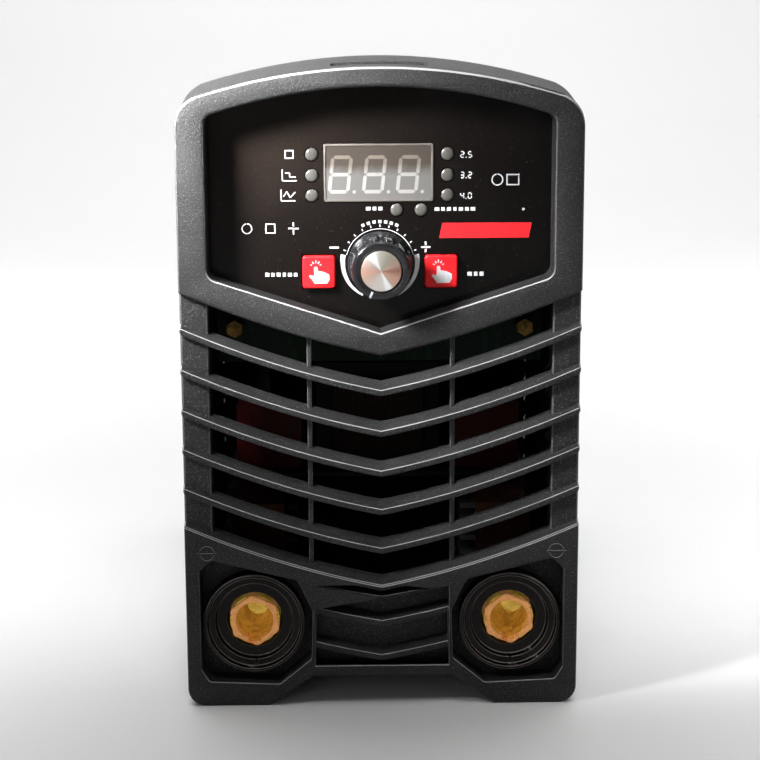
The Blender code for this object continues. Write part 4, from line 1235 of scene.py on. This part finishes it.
def build_print():
    """White printing, with plain blocks in the place of words, and the blank red name bar."""
    y_from, y_to = INK
    add_piece("print_knob_scale", flat_mesh(knob_scale(), y_from, y_to), "ink_white")
    signs = [bar(-16.3, 166.7, 3.3, 0.7), bar(16.3, 166.7, 3.3, 0.7)]
    signs += [bar(16.3, 168.0, 0.7, 1.3), bar(16.3, 165.4, 0.7, 1.3)]
    add_piece("print_signs", flat_mesh(signs, y_from, y_to), "ink_white")
    left = box_outline(-31.9, 199.75, 3.2, 3.1, 0.45)
    left += chart(-32.0, 192.4, ((-1.4, 0.8), (0.2, 0.8), (0.2, -0.6), (2.3, -0.6)))
    left += chart(-32.5, 185.3, ((-1.6, -0.4), (-0.4, 1.4), (0.8, -0.8), (2.6, 1.2)))
    add_piece("print_left_symbols", flat_mesh(left, y_from, y_to), "ink_white")
    right = numbers("2.5", 30.6, 199.4) + numbers("3.2", 30.6, 192.2) + numbers("4.0", 30.6, 184.9)
    add_piece("print_sizes", flat_mesh(right, y_from, y_to), "ink_white")
    rows = dashes(26.7, 180.2, 14.9, 1.3, 7) + dashes(-1.9, 180.5, 6.4, 1.3, 3)
    rows += dashes(-35.2, 157.1, 12.1, 1.4, 6) + dashes(34.2, 157.0, 6.4, 1.5, 3)
    add_piece("print_word_blocks", flat_mesh(rows, y_from, y_to), "ink_white")
    marks = [arc_band((1.5, 1.5), (1.95, 1.95), 0.0, 350.0, -47.2, 173.6)]
    marks += box_outline(-38.9, 173.6, 3.6, 3.6, 0.45)
    marks += [bar(-30.7, 173.6, 3.8, 0.55)]
    marks += [bar(-30.7, z, 0.55, 1.6) for z in (175.0, 172.2)]
    marks += box_outline(47.2, 190.5, 4.6, 4.0, 0.45)
    marks += [arc_band((1.7, 1.7), (2.15, 2.15), 0.0, 350.0, 41.7, 190.5)]
    marks += [circle(51.0, 180.0, 0.5, 12)]
    add_piece("print_marks", flat_mesh(marks, y_from, y_to), "ink_white")
    plate = [(21.05, 169.85), (53.1, 169.85), (54.1, 175.3), (22.2, 175.3)]
    add_piece("name_bar", flat_mesh([plate], y_from, y_to), "ink_red")


# ---------------------------------------------------------------- sockets


def bore_outline(x, z, radius=BORE, keyway=KEYWAY_HALF):
    """A round bore with a keyway at its foot."""
    points = []
    turn = math.asin(keyway / radius)
    for i in range(49):
        angle = -math.pi / 2 + turn + (2 * math.pi - 2 * turn) * i / 48
        points.append((x + radius * math.cos(angle), z + radius * math.sin(angle)))
    points.append((x - keyway, z - KEYWAY_REACH))
    points.append((x + keyway, z - KEYWAY_REACH))
    return points


def build_sockets():
    """Glossy cups round hexagonal brass contacts."""
    floor = SOCKET_FLOOR - 0.3
    cup_profile = rounded(
        [
            (CUP_RADIUS, floor, 0.0),
            (CUP_RADIUS, 2.4, 0.9),
            (17.2, 2.4, 0.4),
            (16.7, 4.8, 0.5),
            (14.4, 5.0, 0.35),
            (13.8, 7.6, 0.5),
            (10.3, 7.6, 0.2),
            (10.3, 13.0, 0.0),
            (9.5, 13.0, 0.0),
            (9.5, 26.0, 0.0),
            (14.5, 26.0, 0.0),
            (14.5, floor, 0.0),
        ],
        4,
    )
    for word, (x, z) in SOCKET_PLACES.items():
        cup = add_lathe(bmesh.new(), cup_profile, (x, 0.0, z), segments=96)
        dimple = [(0.75, 5.4, 0.0), (0.75, 4.75, 0.12), (1.15, 4.75, 0.12), (1.15, 5.4, 0.0)]
        dimple = rounded(dimple, 3)
        add_lathe(cup, dimple, (x + 0.6, 0.0, z - 15.4), segments=24)
        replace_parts(add_piece(f"socket_shell_{word}", cup, "socket_black"), f"socket_cup_{word}")
        hexagon = []
        for i in range(6):
            angle = math.pi / 3 * i + HEX_TURN
            reach_x, reach_z = HEX_REACH * math.sin(angle), HEX_REACH * math.cos(angle)
            hexagon.append((x + reach_x, z + reach_z, 2.2))
        nose = plate_mesh([rounded(hexagon, 5), bore_outline(x, z)], 6.0, 12.7, 0.35, 3)
        face = add_piece(f"socket_nose_{word}", nose, "brass")
        outlines = [circle(x, z, 9.1, 48), bore_outline(x, z, BORE - 0.04)]
        sleeve = plate_mesh(outlines, 7.2, 34.0, 0.05, 1)
        stud = [(0.0, 29.5), (8.8, 29.5), (8.8, 33.8), (4.0, 33.8), (4.0, 46.0), (0.0, 46.0)]
        merge(sleeve, add_lathe(bmesh.new(), stud, (x, 0.0, z), segments=32))
        merge(sleeve, add_lug(x, z))
        add_piece(f"socket_bore_{word}", sleeve, "bore_brass")
        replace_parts(face, f"socket_contact_{word}")


def add_lug(x, z):
    """The half-moon that a plug's pin turns behind."""
    outline = []
    for i in range(17):
        angle = math.pi + math.pi * i / 16
        outline.append((4.3 * math.cos(angle), 6.4 + 5.0 * math.sin(angle)))
    turned = []
    for u, v in outline:
        across = u * math.cos(LUG_TURN) + v * math.sin(LUG_TURN)
        turned.append((x + across, z - u * math.sin(LUG_TURN) + v * math.cos(LUG_TURN)))
    return plate_mesh([turned], 9.6, 15.5, 0.3, 2)


# ---------------------------------------------------------------- sides and rear


def build_vents():
    """Pressed blades behind the cover's slots, leaning down and inwards."""
    outside = design_box("top_cover")[1].x
    section = [
        (outside - 1.1, 56.2),
        (outside - 1.1, 55.1),
        (outside - 3.9, 50.6),
        (outside - 4.6, 51.0),
        (outside - 2.0, 55.4),
        (outside - 1.9, 56.2),
    ]
    for side, word in SIDES:
        bm = bmesh.new()
        for start in VENT_STARTS:
            for row in range(VENT_ROWS):
                rings = []
                for y in (start - 1.0, start + VENT_LENGTH + 1.0):
                    rings.append([(side * x, y, z + VENT_PITCH * row) for x, z in section])
                add_loops(bm, rings)
        add_piece(f"vent_blades_{word}", bm, "sheet_black")


def blade_section(radius, turn, reach):
    """A fan blade's section at that radius, thickest in the middle."""
    low, high = design_box("fan_rotor")
    middle = (low.y + high.y) / 2
    upper, lower = [], []
    for i in range(7):
        share = i / 6 * 2 - 1
        angle = turn + share * FAN_CHORD
        y = middle + (share + 0.12 * (1 - share * share)) * reach
        half = 0.75 * (1 - 0.7 * share * share) / radius
        for edge, lean in ((upper, angle + half), (lower, angle - half)):
            edge.append((radius * math.sin(lean), y, FAN_Z + radius * math.cos(lean)))
    return upper + lower[::-1]


def build_screws():
    """Domed heads with a dark cross on the cover's and the fan's screws."""
    for number in range(1, 5):
        node = f"fan_screw_{number}"
        low, high = design_box(node)
        x, z = middle(node)
        add_screw(node, (x, high.y, z), "Y", 1.0, (high.x - low.x) / 2, high.y - low.y)
    for side, word in SIDES:
        for end in ("front", "rear"):
            node = f"cover_screw_{word}_{end}"
            low, high = design_box(node)
            tip = (high.x if side > 0 else low.x, (low.y + high.y) / 2, (low.z + high.z) / 2)
            add_screw(node, tip, "X", float(side), (high.z - low.z) / 2, high.x - low.x)


def add_screw(node, tip, axis, facing, radius, length):
    """A screw whose head's crown is at tip and whose shank runs back from it."""
    profile = [(0.0, 0.0), (radius * 0.5, -0.12), (radius * 0.85, -0.5), (radius, -1.1)]
    profile += [(radius, -1.6), (1.8, -1.6), (1.8, -length), (0.0, -length)]
    turned = [(r, along * facing) for r, along in profile]
    head = add_piece(f"{node}_head", add_lathe(bmesh.new(), turned, tip, axis, 32), "zinc_steel")
    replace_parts(head, node)
    reach, half = radius * 0.55, 0.45
    bm = bmesh.new()
    for wide, tall in ((reach, half), (half, reach)):
        rings = []
        for along in (-0.9 * facing, 0.03 * facing):
            ring = []
            for u, v in ((-wide, -tall), (wide, -tall), (wide, tall), (-wide, tall)):
                offset = (along, u, v) if axis == "X" else (u, along, v)
                ring.append(tuple(a + b for a, b in zip(tip, offset)))
            rings.append(ring)
        add_loops(bm, rings)
    add_piece(f"{node}_cross", bm, "fan_black")


def ribbed(angle, radius, along):
    """Grip ribs round the gland's cap."""
    return radius - 0.45 * max(math.cos(angle * 18), 0.0) if radius > 12.0 else radius


def build_gland():
    """The cable gland: a rounded hexagon with a ribbed cap, its bore left open."""
    low, high = design_box("gland_body")
    cap_low, cap_high = design_box("gland_cap")
    x, z = middle("gland_body")
    face = REAR_FACE + 0.3
    hexagon = []
    for i in range(6):
        angle = math.pi / 3 * i
        hexagon.append((x + GLAND_HEX * math.sin(angle), z + GLAND_HEX * math.cos(angle), 1.2))
    outlines = [rounded(hexagon, 4), circle(x, z, GLAND_BORE, 40)]
    body = plate_mesh(outlines, face, face + 5.5, 0.5)
    neck = [(GLAND_BORE, low.y), (9.7, low.y), (9.7, face + 1.0)]
    neck += [(9.0, face + 1.0), (9.0, high.y), (GLAND_BORE, high.y)]
    merge(body, add_lathe(bmesh.new(), neck, (x, 0.0, z), segments=48))
    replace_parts(add_piece("gland_hexagon", body, "gland_black"), "gland_body")
    start, end = cap_low.y, cap_high.y
    outer = [(9.4, start), (12.2, start), (12.6, start + 0.5), (12.6, end - 5.5), (12.4, end - 4.6)]
    outer += [(11.6, end - 2.4), (10.2, end - 0.9), (8.4, end), (5.9, end)]
    outer += [(GLAND_BORE, end - 0.7), (GLAND_BORE, high.y + 0.2), (9.4, high.y + 0.2)]
    cap = add_lathe(bmesh.new(), outer, (x, 0.0, z), segments=144, shape=ribbed)
    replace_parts(add_piece("gland_dome", cap, "gland_black"), "gland_cap")


def build_rocker_marks():
    """A bar and a ring, one on each half of the rocker."""
    x = middle("power_rocker")[0]
    tilt = Matrix.Rotation(-ROCKER_TILT, 4, "X")
    place = Matrix.Translation((x, REAR_FACE - 1.0, SWITCH_Z))
    marks = bmesh.new()
    ring = arc_band((1.6, 1.6), (2.3, 2.3), 0.0, 359.0)
    for sign, outline in ((1, bar(0.0, 0.0, 0.8, 4.2)), (-1, ring)):
        shape = add_prism(bmesh.new(), outline, -0.3, 0.06)
        seat = Matrix.Translation((0.0, 4.9, sign * 6.6))
        seat @= Matrix.Rotation(-sign * ROCKER_SLOPE, 4, "X")
        bmesh.ops.transform(shape, matrix=place @ tilt @ seat, verts=shape.verts)
        merge(marks, shape)
    add_piece("rocker_marks", marks, "ink_white", "rocker")


def build_filter():
    """A thin foam dust filter held against the fan's inner face."""
    inset = 2.0
    corners = (FAN_LOW.x + inset, FAN_LOW.z + inset), (FAN_HIGH.x - inset, FAN_HIGH.z - inset)
    pad = plate_mesh([rounded_box(*corners, 5.0)], FAN_LOW.y - 1.9, FAN_LOW.y - 0.1, 0.3)
    add_piece("fan_filter", pad, "fan_black")


def build_rotor():
    """A hub with rounded shoulders and wide, overlapping blades."""
    low, high = design_box("fan_rotor")
    profile = [(0.0, low.y, 0.0), (HUB_RADIUS, low.y, 1.0)]
    profile += [(HUB_RADIUS, high.y, 2.0), (0.0, high.y, 0.0)]
    bm = add_lathe(bmesh.new(), rounded(profile, 5), (0.0, 0.0, FAN_Z), segments=72)
    for i in range(FAN_BLADES):
        angle = 2 * math.pi * i / FAN_BLADES
        sections = []
        for step in range(6):
            share = step / 5
            reach = (high.y - low.y - 2.4) / 2 * (0.95 - 0.3 * share)
            radius = BLADE_ROOT + BLADE_LENGTH * share
            sections.append(blade_section(radius, angle + BLADE_SWEEP * share**1.3, reach))
        add_loops(bm, sections)
    rotor = add_piece("fan_blades", bm, "fan_black", "impeller")
    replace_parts(rotor, "fan_rotor")


# ---------------------------------------------------------------- stage


def add_stage():
    """A pale floor that curves up into a backdrop."""
    profile = [(STAGE_FRONT, 0.0), (STAGE_BEND, 0.0)]
    for i in range(1, 9):
        angle = math.radians(90 * i / 8)
        along, rise = math.sin(angle), 1.0 - math.cos(angle)
        profile.append((STAGE_BEND + STAGE_CURVE * along, STAGE_CURVE * rise))
    profile.append((STAGE_BEND + STAGE_CURVE, STAGE_TOP))
    bm = bmesh.new()
    columns = []
    for x in (-STAGE_HALF, STAGE_HALF):
        columns.append([bm.verts.new((x, y, z)) for y, z in profile])
    for i in range(len(profile) - 1):
        bm.faces.new((columns[0][i], columns[1][i], columns[1][i + 1], columns[0][i + 1]))
    mesh = bpy.data.meshes.new("floor")
    bm.to_mesh(mesh)
    bm.free()
    mesh.shade_smooth()
    shader = Shader("pale_floor", (0.92, 0.92, 0.92), 0.9)
    tone = shader.colours(shader.noise(0.4), (0.3, (0.91, 0.91, 0.91)), (0.7, (0.93, 0.93, 0.93)))
    shader.set(shader.surface, Base_Color=tone)
    mesh.materials.append(shader.material)
    floor = bpy.data.objects.new("floor", mesh)
    bpy.context.scene.collection.objects.link(floor)


def add_light(name, place, target, size, power, beam):
    """A rectangular light aimed at a target."""
    light = bpy.data.lights.new(name, "AREA")
    light.shape = "RECTANGLE"
    light.size, light.size_y = size
    light.energy = power
    light.spread = math.radians(beam)
    obj = bpy.data.objects.new(name, light)
    obj.location = place
    obj.rotation_euler = (Vector(target) - Vector(place)).to_track_quat("-Z", "Y").to_euler()
    bpy.context.scene.collection.objects.link(obj)


def add_camera():
    camera = bpy.data.cameras.new("camera")
    camera.lens = LENS
    camera.sensor_width = 36.0
    obj = bpy.data.objects.new("camera", camera)
    obj.location = TO_ROW @ Vector(CAMERA_PLACE)
    turn = Matrix.Rotation(-CAMERA_YAW, 3, "Z")
    turn @= Matrix.Rotation(math.pi / 2 - CAMERA_PITCH, 3, "X")
    obj.rotation_euler = (turn @ Matrix.Rotation(CAMERA_ROLL, 3, "Z")).to_euler()
    bpy.context.scene.collection.objects.link(obj)
    bpy.context.scene.camera = obj


def add_world():
    world = bpy.data.worlds.new("studio")
    world.use_nodes = True
    background = world.node_tree.nodes["Background"]
    background.inputs["Color"].default_value = (1.0, 1.0, 1.0, 1.0)
    background.inputs["Strength"].default_value = BRIGHTNESS
    bpy.context.scene.world = world
    bpy.context.scene.view_settings.view_transform = "Standard"


def build():
    add_camera()
    add_world()
    add_stage()
    for name, settings in LIGHTS.items():
        add_light(name, *settings)
    dress_nodes()
    build_sleeve()
    build_bezel()
    build_posts()
    build_louvres()
    build_dividers()
    build_apron()
    build_marks()
    build_display()
    build_lamps()
    build_knob()
    build_buttons()
    build_print()
    build_sockets()
    build_vents()
    build_filter()
    build_rotor()
    build_screws()
    build_gland()
    build_rocker_marks()


build()
